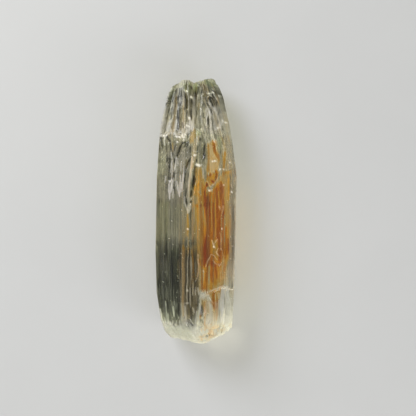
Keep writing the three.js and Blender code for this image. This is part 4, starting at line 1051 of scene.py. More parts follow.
def within_outline(x, y, outline):
    """How far each place is inside a closed outline, and below 0 outside it: a place is inside when
    a line from it towards +X crosses the outline an odd number of times."""
    closed = (*outline, outline[0])
    distance, _ = beside_line(x, y, closed)
    inside = np.zeros(x.shape, bool)
    for (from_x, from_y), (to_x, to_y) in zip(closed[:-1], closed[1:]):
        if from_y != to_y:
            crossing = from_x + (y - from_y) * (to_x - from_x) / (to_y - from_y)
            inside ^= ((from_y > y) != (to_y > y)) & (x < crossing)
    return np.where(inside, distance, -distance)


def wobbled(x, y):
    """Places pushed about a little, so that what is drawn there has a natural, uneven edge."""
    off_x = sway(noise2(x * 1.3 + 3, y * 0.35), 0.22) + sway(noise2(x * 4.3 + 3, y * 1.9), 0.09)
    off_y = sway(noise2(x * 3.3 + 9, y * 0.5 + 4), 0.40)
    return x + off_x, y + off_y


def near_points(x, y, points, reach):
    """The numbers of the places in the box round some points, widened by a reach."""
    (low_x, low_y), (high_x, high_y) = np.min(points, 0) - reach, np.max(points, 0) + reach
    return np.flatnonzero((x > low_x) & (x < high_x) & (y > low_y) & (y < high_y))


def screen(under, over):
    """Two shares laid over each other, never above 1. One below 0 thins what it is laid over."""
    return under + over - under * over


def drawn(marks, x, y, lay):
    """Strokes laid over each other: each is fullest at its middle, thins towards its ends, and is
    broken a little along its length."""
    x, y = wobbled(x, y)
    total = np.zeros(x.shape)
    broken = 0.75 + 0.5 * noise2(x * 5.3 + 17, y * 1.3)
    for half_width, amount, *points in marks:
        near = near_points(x, y, points, STROKE_REACH * half_width)
        distance, along = beside_line(x[near], y[near], points)
        width = half_width * (0.6 + 0.4 * np.sin(np.pi * along))
        share = np.minimum(1, amount * broken[near]) * (1 - smooth(distance, 0.4 * width, 1.3 * width))
        total[near] = lay(total[near], share)
    return total


def drawn_areas(channel, x, y, ragged, lay):
    """The marked areas of one mask, laid over each other, with soft edges that are ragged
    lengthwise."""
    x, y = wobbled(x, y)
    total = np.zeros(x.shape)
    for name, amount, softness, *outline in MARKED_AREAS:
        if name == channel:
            near = near_points(x, y, outline, softness + AREA_REACH)
            inside = within_outline(x[near], y[near], outline) + ragged[near]
            total[near] = lay(total[near], amount * smooth(inside, -softness, softness))
    return total


# ---- Masks over the skin, each from 0 to 1 ----
# Painted shade along the upper side: y, its share on the left flank, on the crown and on the right flank,
# and how strongly the streaks swing it
PAINTED_SHADE_TONES = np.array([
    (-30, 0.3, 0.3, 0.2, 0.3),
    (-24.5, 0.66, 0.5, 0.2, 0.34),
    (-20.5, 0.84, 0.74, 0.14, 0.26),
    (-13, 0.83, 0.82, 0.26, 0.22),
    (-9.5, 0.81, 0.82, 0.48, 0.22),
    (-7, 0.69, 0.68, 0.52, 0.22),
    (-5.5, 0.5, 0.54, 0.48, 0.2),
    (2, 0.49, 0.47, 0.43, 0.22),
    (7, 0.38, 0.38, 0.32, 0.3),
    (15, 0.35, 0.28, 0.22, 0.34),
    (17, 0.34, 0.24, 0.16, 0.32),
    (18.5, 0.46, 0.32, 0.24, 0.36),
    (22, 0.44, 0.36, 0.3, 0.36),
    (25, 0.72, 0.64, 0.62, 0.46),
    (30, 0.78, 0.68, 0.66, 0.52),
])

# The line where the frosted foot begins: x, y
FOOT_LINE = np.array([
    (-9, -24.6), (-6.5, -25.0), (-3.4, -25.1), (-0.5, -25.6),
    (1.0, -25.3), (4.5, -24.6), (6.5, -23.6), (9, -22.4),
])


def flow_of(arc, y):
    """Streak patterns along the crystal, each from 0 to 1: broad, middling, fine and hair-thin.
    The first three share a slow wander, so they run side by side."""
    wander = 0.9 * noise2(arc * 0.6 + 13, y * 0.3)
    broad = noise2(arc * 1.1 + 20 + wander, y * 0.10)
    middling = noise2(arc * 2.6 + wander, y * 0.24)
    fine = noise2(arc * 6.1 + 2 * wander, y * 0.5)
    hair = noise2(arc * 10.7 + 5, y * 0.16)
    return broad, middling, fine, hair


def threads_of(arc, y):
    """Thin lines that flow along the crystal, from 0 to 1: where a slow noise passes its middle."""
    wander = 1.2 * noise2(arc * 0.5 + 2, y * 0.25)
    return smooth(ridges(arc * 2.3 + 5 + wander, y * 0.3 + 2), 0.86, 1.0)


def etching_of(arc, y):
    """Short etched figures, from 0 to 1: noise about three times as long as it is wide, bent by a
    wander."""
    wander = 1.8 * noise2(arc * 0.8 + 4, y * 0.5)
    coarse = noise2(arc * 2.3 + wander + 0.25 * y, y * 0.75)
    small = noise2(arc * 4.6 - wander - 0.4 * y, y * 1.7 + 8)
    return 0.55 * coarse + 0.45 * small


def khaki_stain(x, y, broad, middling):
    """The head's faint khaki: broad patches, and a band along its middle."""
    patches = 0.2 * smooth(y, 12, 19) * smooth(broad + sway(middling, 0.5), 0.45, 0.85)
    return patches + 0.10 * smooth(y, 17, 20) * (1 - smooth(np.abs(x + 1.3), 0.8, 2.2))


def side_stain(x, y, broad, middling, fine):
    """A field on the right-hand side and underneath, whose two ends are streaked."""
    start = -19 + sway(broad, 9) + 3 * middling
    stop = 8 + sway(broad, 9) + 4 * fine
    return smooth(x, -1.5, 2.0) * smooth(y, start - 3, start + 4) * (1 - smooth(y, stop - 4, stop + 4))


def foot_specks(x, y, z, faces_up):
    """Iron specks on the right of the foot, over a faint mottle where it faces up."""
    specks = smooth(noise2(x * 3.7 + 0.8 * y + 40, y * 3.3 + 0.8 * z), 0.80, 0.93)
    mottle = smooth(noise2(x * 1.6 + 5, y * 1.5 + z), 0.4, 0.9)
    return (0.6 * specks + 0.26 * mottle * faces_up) * (1 - smooth(y, -26.2, -24)) * smooth(x, -0.5, 2)


def stain_mask(x, y, z, arc, faces_up, on_end):
    """Iron stain, streaked along the crystal: drawn on the upper side, patchy on the ends, a thin
    field below, and specks on the foot."""
    broad, middling, fine, hair = flow_of(arc + 31, y)
    ragged = sway(middling, 0.5) + sway(fine, 0.35)
    streaked = sway(middling, 0.40) + sway(fine, 0.34) + sway(hair, 0.26)
    top = drawn_areas("stain", x, y, ragged, np.add) + drawn(STAIN_MARKS, x, y, np.add)
    top = top * (1 + 0.4 * streaked) + khaki_stain(x, y, broad, middling)
    top = top * lerp(1, smooth(noise2(x * 0.9 + 3, z * 0.8 + 6), 0.25, 0.8), on_end)
    side = side_stain(x, y, broad, middling, fine) * (0.34 + 0.9 * streaked)
    return np.clip(lerp(side, top, faces_up) + foot_specks(x, y, z, faces_up), 0, 1)


def foot_line(x, arc):
    """The line where the frosted foot begins, made ragged by two widths of noise."""
    line = np.interp(x, FOOT_LINE[:, 0], FOOT_LINE[:, 1])
    return line + sway(noise2(arc * 2.3, 1), 0.8) + sway(noise2(arc * 0.45 + 8, 3), 1.4)


def foot_frost(x, y, z, arc, faces_up, middling, fine):
    """The foot's frosting: full below its ragged line, with a haze above it where it faces up, thinner on
    the right of the upper side, and mottled."""
    line = foot_line(x, arc)
    fade = 0.5 + 0.8 * fine * middling + (1 - faces_up) * (1.0 + 3.4 * noise2(arc * 1.2 + 4, y * 0.2))
    full = 1 - smooth(y, line - 0.5 - 1.5 * (1 - faces_up), line + 0.3 + fade)
    haze = 1 - smooth(y, line, line + 4.5)
    hazy = screen(full, 0.16 * haze * (0.5 + middling) * faces_up)
    thinned = hazy * (1 - 0.46 * faces_up * smooth(x, 0.5, 3))
    mottle = sway(noise2(x * 2.1, y * 1.9 + z), 0.2) + sway(noise2(x * 6.3, y * 5.7 + z), 0.3)
    return np.clip(thinned * (0.92 + mottle), 0, 1)


def fine_frost_and_highlights(x, y, arc, faces_up, middling, fine, hair):
    """The small pale marks of the walls, partly frosting and partly painted highlights along the striae:
    crests, threads and etched figures on the head, threads under the ledge, hair lines below that, and
    specks where it faces up."""
    head = smooth(y, HEAD_STARTS, 19)
    crests = smooth(ridges(arc * 2.7 + 0.9 * noise2(arc * 0.6, y * 0.3), y * 0.25), 0.62, 0.98)
    threads = smooth(fine + sway(noise2(x * 2.2, y * 1.7), 0.5), 0.62, 0.95)
    on_head = head * (0.08 * crests * smooth(middling, 0.25, 0.7) + 0.22 * threads)
    on_head = on_head + 0.24 * head * smooth(etching_of(arc, y), 0.60, 0.84)
    on_head = on_head + 0.40 * head * threads_of(arc + 60, y) ** 2
    under_ledge = 0.12 * smooth(y, 1.5, 6) * (1 - head) * threads
    hair_lines = 0.16 * smooth(hair, 0.66, 0.9) * (1 - head) * (1 - 0.7 * smooth(y, 2, 8))
    hair_lines = hair_lines * lerp(1, 0.4, faces_up * smooth(x, 1, 2.2))
    specks = 0.5 * smooth(noise2(x * 3.1 + 0.9 * y, y * 2.7 + 0.7 * x), 0.93, 0.98) * faces_up
    return on_head + under_ledge + hair_lines + specks


def frost_and_highlight_mask(x, y, z, arc, faces_up, on_end):
    """Frosting and painted highlights: the foot, small pale marks on the walls except in the painted
    shade of dark hollows, patches on the tip's end, and the frosting and bright highlights drawn on the
    upper side."""
    _, middling, fine, hair = flow_of(arc, y)
    ragged = sway(middling, 0.45) + sway(fine, 0.3)
    areas = drawn_areas("frost", x, y, ragged, screen)
    top = screen(areas, drawn(FROST_AND_HIGHLIGHT_MARKS, x, y, screen))
    top = top * (0.86 + sway(fine, 0.30) + sway(hair, 0.24))
    clear = 1 - faces_up * drawn(PAINTED_SHADE_MARKS, x, y, screen)
    end = 0.55 * smooth(y, 20, 24) * smooth(noise2(x * 1.7, z * 1.9), 0.5, 0.9)
    skin = clear * lerp(fine_frost_and_highlights(x, y, arc, faces_up, middling, fine, hair), end, on_end)
    skin = screen(skin, faces_up * top)
    return np.clip(screen(foot_frost(x, y, z, arc, faces_up, middling, fine), skin), 0, 1)


def wall_painted_shade(x, y, faces_up, flow):
    """The painted shade of the walls: the tones of the flanks and the crown where they face up, a tone
    that deepens towards the foot below, and the streaks that swing both."""
    broad, middling, fine, hair = flow
    place, left, crown, right, swing = PAINTED_SHADE_TONES.T
    left_tone = np.interp(y + sway(middling, 1.8) + sway(fine, 1.0), place, left)
    tone = lerp(left_tone, np.interp(y, place, crown), smooth(x, -3.25, -2.95))
    tone = lerp(tone, np.interp(y, place, right), smooth(x, 0.3, 1.1))
    tone = lerp(0.42 + 0.14 * smooth(-y, 5, 10), tone, faces_up)
    streaked = sway(broad, 0.24) + sway(middling, 0.32) + sway(fine, 0.32) + sway(hair, 0.34)
    return tone + lerp(0.5, np.interp(y, place, swing), faces_up) * streaked


def painted_shade_mask(x, y, z, arc, faces_up, on_end):
    """Painted shade, where the crystal is clear and dark: its tones, shade in etched pits and along
    threads, patches on the ends, and what is drawn on the upper side."""
    flow = flow_of(arc, y)
    amount = wall_painted_shade(x, y, faces_up, flow)
    pits = smooth(y, 1, 6) * (0.5 + 0.6 * smooth(y, 14, 17)) * faces_up
    amount = amount - pits * sway(etching_of(arc + 0.12, y), 0.30)
    threads = 0.12 + 0.14 * smooth(y, 14, 18) + 0.16 * smooth(y, 20, 24)
    threads = threads * smooth(y, -2, 4) * lerp(0.5, 1, faces_up)
    amount = amount + threads * threads_of(arc, y)
    end = 0.36 + 0.2 * smooth(noise2(x * 1.5 + 30, z * 1.4), 0.45, 0.85)
    amount = np.clip(lerp(amount, end, on_end), 0, 1)
    _, middling, fine, _ = flow
    ragged = sway(middling, 0.4) + sway(fine, 0.3)
    areas = drawn_areas("gloom", x, y, ragged, screen)
    marks = screen(areas, drawn(PAINTED_SHADE_MARKS, x, y, screen))
    return np.clip(screen(amount, faces_up * marks), 0, 1)


def green_mask(x, y, arc, faces_up):
    """Where the beryl's own green shows: drawn on the upper side, and the rim of the tip all round."""
    _, middling, fine, _ = flow_of(arc, y)
    ragged = sway(middling, 0.5) + sway(fine, 0.3)
    top = drawn_areas("green", x, y, ragged, screen)
    return np.clip(lerp(0.25 * smooth(y, 24, 29), top, faces_up), 0, 1)


def painted_sheen_mask(x, y, arc, faces_up):
    """A painted lilac sheen on the etched skin: drawn on the upper side, with soft edges."""
    _, middling, fine, _ = flow_of(arc, y)
    ragged = sway(middling, 0.8) + sway(fine, 0.4)
    return np.clip(faces_up * drawn_areas("cool", x, y, ragged, screen), 0, 1)


def painted_glint_mask(x, y, faces_up):
    """Painted glints on the upper side, each a soft round spot that the material makes glow."""
    total = np.zeros(x.shape)
    for middle_x, middle_y, radius in PAINTED_GLINTS:
        distance = np.hypot(x - middle_x, y - middle_y)
        total = np.maximum(total, 1 - smooth(distance, 0.4 * radius, 1.3 * radius))
    return faces_up * total


def skin_masks(points, arc, faces_up, on_end):
    """Every mask of the skin, by its name."""
    x, y, z = points.T
    return {
        "stain": stain_mask(x, y, z, arc, faces_up, on_end),
        "frost": frost_and_highlight_mask(x, y, z, arc, faces_up, on_end),
        "gloom": painted_shade_mask(x, y, z, arc, faces_up, on_end),
        "green": green_mask(x, y, arc, faces_up),
        "cool": painted_sheen_mask(x, y, arc, faces_up),
        "glint": painted_glint_mask(x, y, faces_up),
    }


def add_mask(mesh, name, values):
    """Stores a mask as a point attribute of the mesh."""
    attribute = mesh.attributes.new(name, "FLOAT", "POINT")
    attribute.data.foreach_set("value", values.astype(np.float32))


# ---- Node tools ----
def linear(red, green, blue):
    """A display colour, each channel from 0 to 255, as linear light."""
    channels = (value / 255 for value in (red, green, blue))
    return tuple(c / 12.92 if c <= 0.04045 else ((c + 0.055) / 1.055) ** 2.4 for c in channels)


class Tree:
    """Adds nodes to one node tree, and links or sets their inputs."""

    def __init__(self, tree):
        self.tree = tree

    def put(self, socket, value):
        """Links an output to an input, or sets the input's own value."""
        if isinstance(value, bpy.types.NodeSocket):
            self.tree.links.new(value, socket)
        elif socket.type == "RGBA" and len(value) == 3:
            socket.default_value = (*value, 1.0)
        else:
            socket.default_value = value

    def add(self, kind, inputs=(), **settings):
        """Adds a node, with its settings and what goes into it."""
        node = self.tree.nodes.new(kind)
        for name, value in settings.items():
            setattr(node, name, value)
        for key, value in dict(inputs).items():
            self.put(node.inputs[key], value)
        return node

    def math(self, operation, a, b, clamp=False):
        """A sum, product or the like of two values."""
        return self.add("ShaderNodeMath", {0: a, 1: b}, operation=operation, use_clamp=clamp).outputs[0]

    def mix(self, share, a, b, blend="MIX"):
        """Colour a, with a share of colour b blended into it."""
        node = self.add("ShaderNodeMix", data_type="RGBA", blend_type=blend)
        colours = {socket.name: socket for socket in node.inputs if socket.type == "RGBA"}
        self.put(node.inputs["Factor"], share)
        self.put(colours["A"], a)
        self.put(colours["B"], b)
        return next(socket for socket in node.outputs if socket.type == "RGBA")

    def tint(self, share, under, colour):
        """A colour, with a share of it multiplied by another."""
        return self.mix(share, under, self.mix(1.0, under, colour, "MULTIPLY"))

    def span(self, value, low, high, to_low=0.0, to_high=1.0):
        """A value, with the span from low to high stretched onto another and held at its ends."""
        inputs = {"Value": value, "From Min": low, "From Max": high, "To Min": to_low, "To Max": to_high}
        return self.add("ShaderNodeMapRange", inputs).outputs["Result"]

    def ramp(self, value, stops):
        """A colour ramp over a value, through stops of a place and a colour."""
        node = self.add("ShaderNodeValToRGB", {"Fac": value})
        elements = node.color_ramp.elements
        for _ in range(len(stops) - len(elements)):
            elements.new(1.0)
        for element, (place, colour) in zip(elements, stops):
            element.position = place
            element.color = (*colour, 1.0)
        return node.outputs["Color"]

    def mask(self, name):
        """A mask that the mesh carries."""
        node = self.add("ShaderNodeAttribute", attribute_name=name, attribute_type="GEOMETRY")
        return node.outputs["Fac"]


def shader_group(name, inputs, outputs):
    """An empty shader node group with float or vector inputs, and float outputs."""
    group = bpy.data.node_groups.new(name, "ShaderNodeTree")
    for label, kind, default in inputs:
        socket = group.interface.new_socket(name=label, in_out="INPUT", socket_type=kind)
        if default is not None:
            socket.default_value = default
    for label in outputs:
        group.interface.new_socket(name=label, in_out="OUTPUT", socket_type="NodeSocketFloat")
    return group


def striae_group():
    """Lengthwise striae: noise that is stretched along Y, at a width across and a length along."""
    group = shader_group(
        "Striae",
        (
            ("Vector", "NodeSocketVector", None),
            ("Width", "NodeSocketFloat", 0.0006),
            ("Length", "NodeSocketFloat", 0.02),
            ("Shift", "NodeSocketFloat", 0.0),
        ),
        ("Streak",),
    )
    t = Tree(group)
    given = t.add("NodeGroupInput").outputs
    across = t.math("DIVIDE", 1.0, given["Width"])
    along = t.math("DIVIDE", 1.0, given["Length"])
    scale = t.add("ShaderNodeCombineXYZ", {"X": across, "Y": along, "Z": across}).outputs[0]
    stretched = t.add(
        "ShaderNodeVectorMath", {0: given["Vector"], 1: scale, 2: given["Shift"]},
        operation="MULTIPLY_ADD",
    ).outputs[0]
    noisy = t.add("ShaderNodeTexNoise", {"Vector": stretched, "Scale": 1.0, "Detail": 3.0}).outputs["Fac"]
    t.add("NodeGroupOutput", {"Streak": t.span(noisy, 0.3, 0.7)})
    return group


def grain_group():
    """Frosted grain: fine noise with small pits."""
    group = shader_group(
        "Grain",
        (("Vector", "NodeSocketVector", None), ("Size", "NodeSocketFloat", 0.0004)),
        ("Grain", "Pits"),
    )
    t = Tree(group)
    given = t.add("NodeGroupInput").outputs
    scale = t.math("DIVIDE", 1.0, given["Size"])
    fine = t.add(
        "ShaderNodeTexNoise", {"Vector": given["Vector"], "Scale": scale, "Detail": 4.0}
    ).outputs["Fac"]
    cells = t.add("ShaderNodeTexVoronoi", {"Vector": given["Vector"], "Scale": scale}).outputs["Distance"]
    pits = t.span(cells, 0.1, 0.45, 1.0, 0.0)
    t.add("NodeGroupOutput", {"Grain": t.span(fine, 0.3, 0.7), "Pits": pits})
    return group


# ---- The material, its sizes in metres ----
FINE_STRIAE = (0.0004, 0.016, 11.0)  # width across, length along, and shift of their noise
HAIR_STRIAE = (0.0002, 0.012, 23.0)
GRAIN_SIZE = 0.00035
BUMP_DEPTH, BUMP_STRENGTH = 0.00012, 0.6
GRAIN_GROWS = (0.0, 0.016)  # places along Y between which the grain grows stronger
HEAD_ROUGHENS = (0.014, 0.019)  # places along Y between which the etched head grows rougher


def beryl_material(finish):
    """Clear beryl with plain transmission and absorption. Its masks give it stain, frosting with painted
    highlights, painted shade, green, a painted lilac sheen and painted glints that glow, and the striae
    and grain groups break them up. What lamps cast through it is coloured by the plain transparent
    shader, which shadow rays alone meet."""
    material = bpy.data.materials.new("etched beryl")
    material.use_nodes = True
    t = Tree(material.node_tree)
    t.tree.nodes.clear()
    place = t.add("ShaderNodeTexCoord").outputs["Object"]
    striae = striae_group()
    grain = grain_group()

    def striae_at(width, length, shift):
        """The striae group, placed with its own values."""
        inputs = {"Vector": place, "Width": width, "Length": length, "Shift": shift}
        return t.add("ShaderNodeGroup", inputs, node_tree=striae).outputs["Streak"]

    fine = striae_at(*FINE_STRIAE)
    hair = striae_at(*HAIR_STRIAE)
    frosting = t.add("ShaderNodeGroup", {"Vector": place, "Size": GRAIN_SIZE}, node_tree=grain)

    stain, frost, gloom, green, cool, glint = (
        t.mask(name) for name in ("stain", "frost", "gloom", "green", "cool", "glint")
    )
    along = t.add("ShaderNodeSeparateXYZ", {"Vector": place}).outputs["Y"]
    grained = t.span(frosting.outputs["Grain"], 0, 1, -0.11, 0.11)
    grained = t.math("MULTIPLY", grained, t.span(along, *GRAIN_GROWS, 0.35, 1.0))
    streaked = t.math("ADD", t.span(fine, 0, 1, -0.07, 0.07), grained)
    # Painted shade, broken up by striae and grain, picks a tone of the beryl
    deep = t.math("ADD", gloom, streaked, clamp=True)
    clear = t.ramp(deep, (
        (0.0, finish.palest),
        (0.35, finish.pale),
        (0.6, finish.middling),
        (0.85, finish.dim),
        (1.0, finish.darkest),
    ))
    thick = t.math("ADD", stain, t.math("MULTIPLY", streaked, stain))
    iron = t.ramp(thick, (
        (0.1, finish.straw),
        (0.3, finish.ochre),
        (0.45, finish.orange),
        (0.6, finish.rust),
        (0.85, finish.deep_rust),
    ))
    # The iron stain is darkened by the painted shade
    shaded = t.mix(t.span(gloom, 0.4, 1.0, 0.0, 0.9), iron, finish.darkest)
    stained = t.mix(t.span(thick, 0.0, 0.38), clear, shaded)
    # The white of frosting, which also carries the painted highlights
    white = t.mix(frosting.outputs["Grain"], finish.frost_dark, finish.frost)
    white = t.mix(t.span(stain, 0.0, 0.6, 0.0, 0.8), white, finish.stained_frost)
    base = t.mix(frost, stained, white)
    base = t.tint(t.math("MULTIPLY", green, 0.8), base, finish.green)
    # A painted lilac sheen
    base = t.tint(cool, base, finish.lilac)

    rough = t.math("ADD", t.span(frost, 0, 1, 0.10, 0.60), t.span(along, *HEAD_ROUGHENS, 0.0, 0.15))
    rough = t.math("ADD", rough, t.math("MULTIPLY", fine, 0.06), clamp=True)
    height = t.math("ADD", t.math("MULTIPLY", fine, 0.5), t.math("MULTIPLY", hair, 0.25))
    pitted = t.math("MULTIPLY", frost, t.math("ADD", frosting.outputs["Grain"], frosting.outputs["Pits"]))
    height = t.math("ADD", height, t.math("MULTIPLY", pitted, 0.6))
    relief = {"Height": height, "Strength": BUMP_STRENGTH, "Distance": BUMP_DEPTH}
    normal = t.add("ShaderNodeBump", relief).outputs["Normal"]

    beryl = t.add("ShaderNodeBsdfPrincipled", {
        "Base Color": base,
        "Roughness": rough,
        "IOR": finish.ior,
        "Transmission Weight": finish.transmission,
        "Normal": normal,
        # Painted glints glow by emission
        "Emission Color": t.mix(glint, (0, 0, 0), finish.glint),
        "Emission Strength": finish.glint_strength,
    })
    depth = t.add("ShaderNodeVolumeAbsorption", {"Color": finish.absorbed, "Density": finish.density})
    is_shadow = t.add("ShaderNodeLightPath").outputs["Is Shadow Ray"]
    lamp_light = t.mix(frost, finish.lamp_light, finish.frost_light)
    let_through = t.add("ShaderNodeBsdfTransparent", {"Color": lamp_light})
    surface = t.add("ShaderNodeMixShader", {0: is_shadow, 1: beryl.outputs[0], 2: let_through.outputs[0]})
    t.add("ShaderNodeOutputMaterial", {"Surface": surface.outputs[0], "Volume": depth.outputs[0]})
    return material


FLOOR_MOTTLE = 0.94  # the brightness of the mottle's darker parts


def pale_material(pale):
    """The pale floor: matte, with a very faint mottle."""
    material = bpy.data.materials.new("pale floor")
    material.use_nodes = True
    t = Tree(material.node_tree)
    t.tree.nodes.clear()
    place = t.add("ShaderNodeTexCoord").outputs["Object"]
    mottle = t.add("ShaderNodeTexNoise", {"Vector": place, "Scale": 40.0, "Detail": 4.0}).outputs["Fac"]
    base = t.mix(mottle, [channel * FLOOR_MOTTLE for channel in pale], pale)
    floor = t.add("ShaderNodeBsdfPrincipled", {"Base Color": base, "Roughness": 0.85})
    t.add("ShaderNodeOutputMaterial", {"Surface": floor.outputs[0]})
    return material


# ---- Settings ----
def colour(name, description, default):
    """A colour setting."""
    return FloatVectorProperty(name=name, description=description, subtype="COLOR", default=default)


class CrystalShape(bpy.types.PropertyGroup):
    """How finely the skin is split"""

    split_above: IntProperty(
        name="Split above", description="Columns of the skin for each of the solid, where it faces up",
        default=5, min=1,
    )
    split_below: IntProperty(
        name="Split below", description="Columns of the skin for each of the solid, elsewhere",
        default=5, min=1,
    )
    rows: IntProperty(name="Rows", description="Rings of points along the walls", default=300, min=20)
    cap_rings: IntProperty(name="Cap rings", description="Rings on each end", default=22, min=3)


class CrystalFinish(bpy.types.PropertyGroup):
    """The colours of the skin, and how light passes it"""

    # The beryl's tones, palest to darkest, are a ramp of painted shade: dim where it is clear over a dark
    # inside, darkest in the bottoms of clefts
    palest: colour("Beryl, palest", "Where light passes freely", linear(255, 248, 220))
    pale: colour("Beryl, pale", "Lightly etched skin", linear(156, 153, 128))
    middling: colour("Beryl, middling", "Etched skin between furrows", linear(92, 92, 76))
    dim: colour("Beryl, dim", "Clear skin over a dark inside", linear(38, 39, 31))
    darkest: colour("Beryl, darkest", "The bottoms of clefts", linear(4, 4, 3))
    green: colour("Green", "Tint where the beryl's own green shows", linear(214, 250, 150))
    # The tint of the painted lilac sheen
    lilac: colour("Lilac", "Tint where the etched skin looks cooler", (0.93, 0.90, 1.06))
    straw: colour("Straw", "The faintest iron stain", linear(192, 173, 124))
    ochre: colour("Ochre", "Thin iron stain", linear(214, 164, 42))
    orange: colour("Orange", "Iron stain", linear(196, 122, 12))
    rust: colour("Rust", "Thick iron stain", linear(164, 90, 14))
    deep_rust: colour("Deep rust", "The thickest iron stain", linear(136, 52, 10))
    # The frost colour also paints the highlights of ledges, facets and striae
    frost: colour("Frost", "Etched and broken skin", linear(252, 252, 243))
    frost_dark: colour("Frost, dark", "The pits of the frosted skin", linear(232, 228, 206))
    stained_frost: colour("Frost, stained", "Etched skin over iron stain", linear(240, 200, 126))
    # Painted glints: a colour that the skin gives off in small spots
    glint: colour("Glint", "Small bright glints on the etched skin", linear(255, 250, 238))
    glint_strength: FloatProperty(
        name="Glint strength", description="How bright the glints are", default=0.42, min=0
    )
    absorbed: colour("Depth colour", "Colour that light takes on inside", (0.62, 0.62, 0.48))
    lamp_light: colour("Lamp light", "What each skin leaves of the light of a lamp", (0.80, 0.79, 0.70))
    frost_light: colour("Frost light", "What each frosted skin leaves of it", (0.45, 0.44, 0.40))
    density: FloatProperty(
        name="Depth", description="How strongly light is absorbed inside, per metre", default=20.0, min=0
    )
    transmission: FloatProperty(
        name="Transmission", description="Share of light that passes the skin", default=0.65,
        min=0, max=1, subtype="FACTOR",
    )
    ior: FloatProperty(name="IOR", description="Refractive index of beryl", default=1.577, min=1)


class CrystalStage(bpy.types.PropertyGroup):
    """The floor, the lights, the surround and the camera"""

    floor_colour: colour("Floor", "Colour of the floor", linear(180, 180, 178))
    floor_radius: FloatProperty(
        name="Floor radius", description="To the floor's rim", default=0.6, unit="LENGTH"
    )
    key_power: FloatProperty(
        name="Key", description="Power of the key light", default=2.7, unit="POWER"
    )
    fill_power: FloatProperty(
        name="Fill", description="Power of the fill light", default=0.9, unit="POWER"
    )
    low_power: FloatProperty(
        name="Low", description="Power of the light past the foot", default=0.7, unit="POWER"
    )
    surround: colour("Surround", "Colour of the light from all round", (0.80, 0.82, 0.85))
    surround_strength: FloatProperty(
        name="Surround strength", description="Strength of the light from all round", default=0.4, min=0
    )
    backdrop: colour("Backdrop", "Colour behind the floor", (0.68, 0.68, 0.67))
    camera_place: FloatVectorProperty(
        name="Camera", description="Where the camera hangs, looking straight down", unit="LENGTH",
        default=(0.0026, 0.0007, 0.2687),
    )
    camera_lens: FloatProperty(name="Lens", description="Focal length in millimetres", default=100.0)


# ---- The stage, in metres ----
# The lamps: name, place, width and height, and the setting that holds the power
LAMPS = (
    ("key", (-0.25, 0.27, 0.27), (0.24, 0.24), "key_power"),
    ("fill", (0.32, -0.24, 0.20), (0.24, 0.24), "fill_power"),
    ("low", (0.0, -0.36, 0.20), (0.30, 0.20), "low_power"),
)
FLOOR_Z = -0.0001  # just under the crystal
FLOOR_RINGS, FLOOR_SIDES = 32, 96
FLOOR_FLAT = 0.5  # the share of the floor's radius that is flat
FLOOR_CURVE = 1.6  # how steeply its rim curves up


# ---- Operators ----
class CRYSTAL_OT_body(bpy.types.Operator):
    """Build the crystal's skin, its masks and its material"""

    bl_idname = "crystal.body"
    bl_label = "Crystal body"

    def execute(self, context):
        points, arcs, faces_up, on_end, faces = closed_skin(context.scene.crystal_shape)
        mesh = mesh_from_arrays("crystal body", put_in_place(points), *faces)
        for name, values in skin_masks(points, arcs, faces_up, on_end).items():
            add_mask(mesh, name, values)
        body = bpy.data.objects.new("crystal_body", mesh)
        context.scene.collection.objects.link(body)
        mesh.materials.append(beryl_material(context.scene.crystal_finish))
        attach(body, "root")
        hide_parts(NODE)
        return {"FINISHED"}


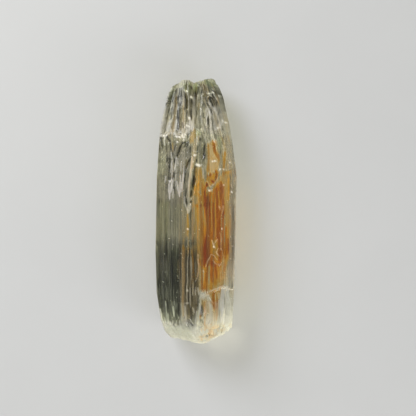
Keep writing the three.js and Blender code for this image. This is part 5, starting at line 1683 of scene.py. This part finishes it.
class CRYSTAL_OT_stage(bpy.types.Operator):
    """Set up the pale floor, the soft lights and the camera that looks straight down"""

    bl_idname = "crystal.stage"
    bl_label = "Studio stage"

    def execute(self, context):
        stage = context.scene.crystal_stage
        self.floor(context, stage)
        for name, place, size, power in LAMPS:
            self.light(context, name, place, size, getattr(stage, power))
        self.world(context, stage)
        camera = bpy.data.objects.new("camera", bpy.data.cameras.new("camera"))
        camera.data.lens = stage.camera_lens
        camera.location = stage.camera_place
        context.scene.collection.objects.link(camera)
        context.scene.camera = camera
        context.scene.view_settings.view_transform = "Standard"
        return {"FINISHED"}

    def floor(self, context, stage):
        """A disc of rings at even steps, flat at first and rising as a square near its rim. Of the
        two fans that would close it, it keeps the one over its middle."""
        share = np.linspace(0, 1, FLOOR_RINGS + 1)[1:, None]
        angle = np.linspace(0, 2 * math.pi, FLOOR_SIDES + 1)[None, :-1]
        radius = share * stage.floor_radius
        rise = FLOOR_CURVE * stage.floor_radius * np.maximum(0, share - FLOOR_FLAT) ** 2
        x, y = radius * np.cos(angle), radius * np.sin(angle)
        rings = np.stack((x, y, np.broadcast_to(FLOOR_Z + rise, x.shape)), -1)
        quads, fans = closed_faces(FLOOR_RINGS, FLOOR_SIDES)
        points = np.concatenate((rings.reshape(-1, 3), [(0, 0, FLOOR_Z)])) / MM
        mesh = mesh_from_arrays("floor", points, quads, fans[:FLOOR_SIDES])
        floor = bpy.data.objects.new("floor", mesh)
        mesh.materials.append(pale_material(stage.floor_colour))
        context.scene.collection.objects.link(floor)
        return floor

    def light(self, context, name, place, size, power):
        """A soft rectangular light that points at the crystal."""
        data = bpy.data.lights.new(name, "AREA")
        data.shape = "RECTANGLE"
        data.size, data.size_y = size
        data.energy = power
        lamp = bpy.data.objects.new(name, data)
        lamp.location = place
        towards = Vector((0, 0, CAD_HIGH.z / 2)) - lamp.location
        lamp.rotation_euler = towards.to_track_quat("-Z", "Y").to_euler()
        context.scene.collection.objects.link(lamp)

    def world(self, context, stage):
        """A dim, pale, even surround, and a backdrop that only the camera sees."""
        world = bpy.data.worlds.new("surround")
        world.use_nodes = True
        t = Tree(world.node_tree)
        t.tree.nodes.clear()
        pale = {"Color": stage.surround, "Strength": stage.surround_strength}
        around = t.add("ShaderNodeBackground", pale).outputs[0]
        behind = t.add("ShaderNodeBackground", {"Color": stage.backdrop}).outputs[0]
        seen = t.add("ShaderNodeLightPath").outputs["Is Camera Ray"]
        mixed = t.add("ShaderNodeMixShader", {0: seen, 1: around, 2: behind}).outputs[0]
        t.add("ShaderNodeOutputWorld", {"Surface": mixed})
        context.scene.world = world


class CRYSTAL_PT_panel(bpy.types.Panel):
    """Lists the crystal's pieces and settings"""

    bl_idname = "CRYSTAL_PT_panel"
    bl_label = "Aquamarine crystal"
    bl_space_type = "VIEW_3D"
    bl_region_type = "UI"
    bl_category = "Crystal"

    def draw(self, context):
        for group in SETTINGS:
            settings = getattr(context.scene, group)
            for name in settings.__annotations__:
                self.layout.prop(settings, name)
        for operator in OPERATORS:
            self.layout.operator(operator.bl_idname)


SETTINGS = {
    "crystal_shape": CrystalShape,
    "crystal_finish": CrystalFinish,
    "crystal_stage": CrystalStage,
}
OPERATORS = (CRYSTAL_OT_stage, CRYSTAL_OT_body)


def register():
    """Registers the classes and puts the settings on the scene."""
    for name, settings in SETTINGS.items():
        bpy.utils.register_class(settings)
        setattr(bpy.types.Scene, name, PointerProperty(type=settings))
    for made in (*OPERATORS, CRYSTAL_PT_panel):
        bpy.utils.register_class(made)


def unregister():
    """Takes the settings off the scene and the classes out again."""
    for made in (CRYSTAL_PT_panel, *reversed(OPERATORS)):
        bpy.utils.unregister_class(made)
    for name, settings in SETTINGS.items():
        delattr(bpy.types.Scene, name)
        bpy.utils.unregister_class(settings)


def main():
    """Builds everything in order."""
    register()
    bpy.ops.crystal.stage()
    bpy.ops.crystal.body()


if __name__ == "__main__":
    main()
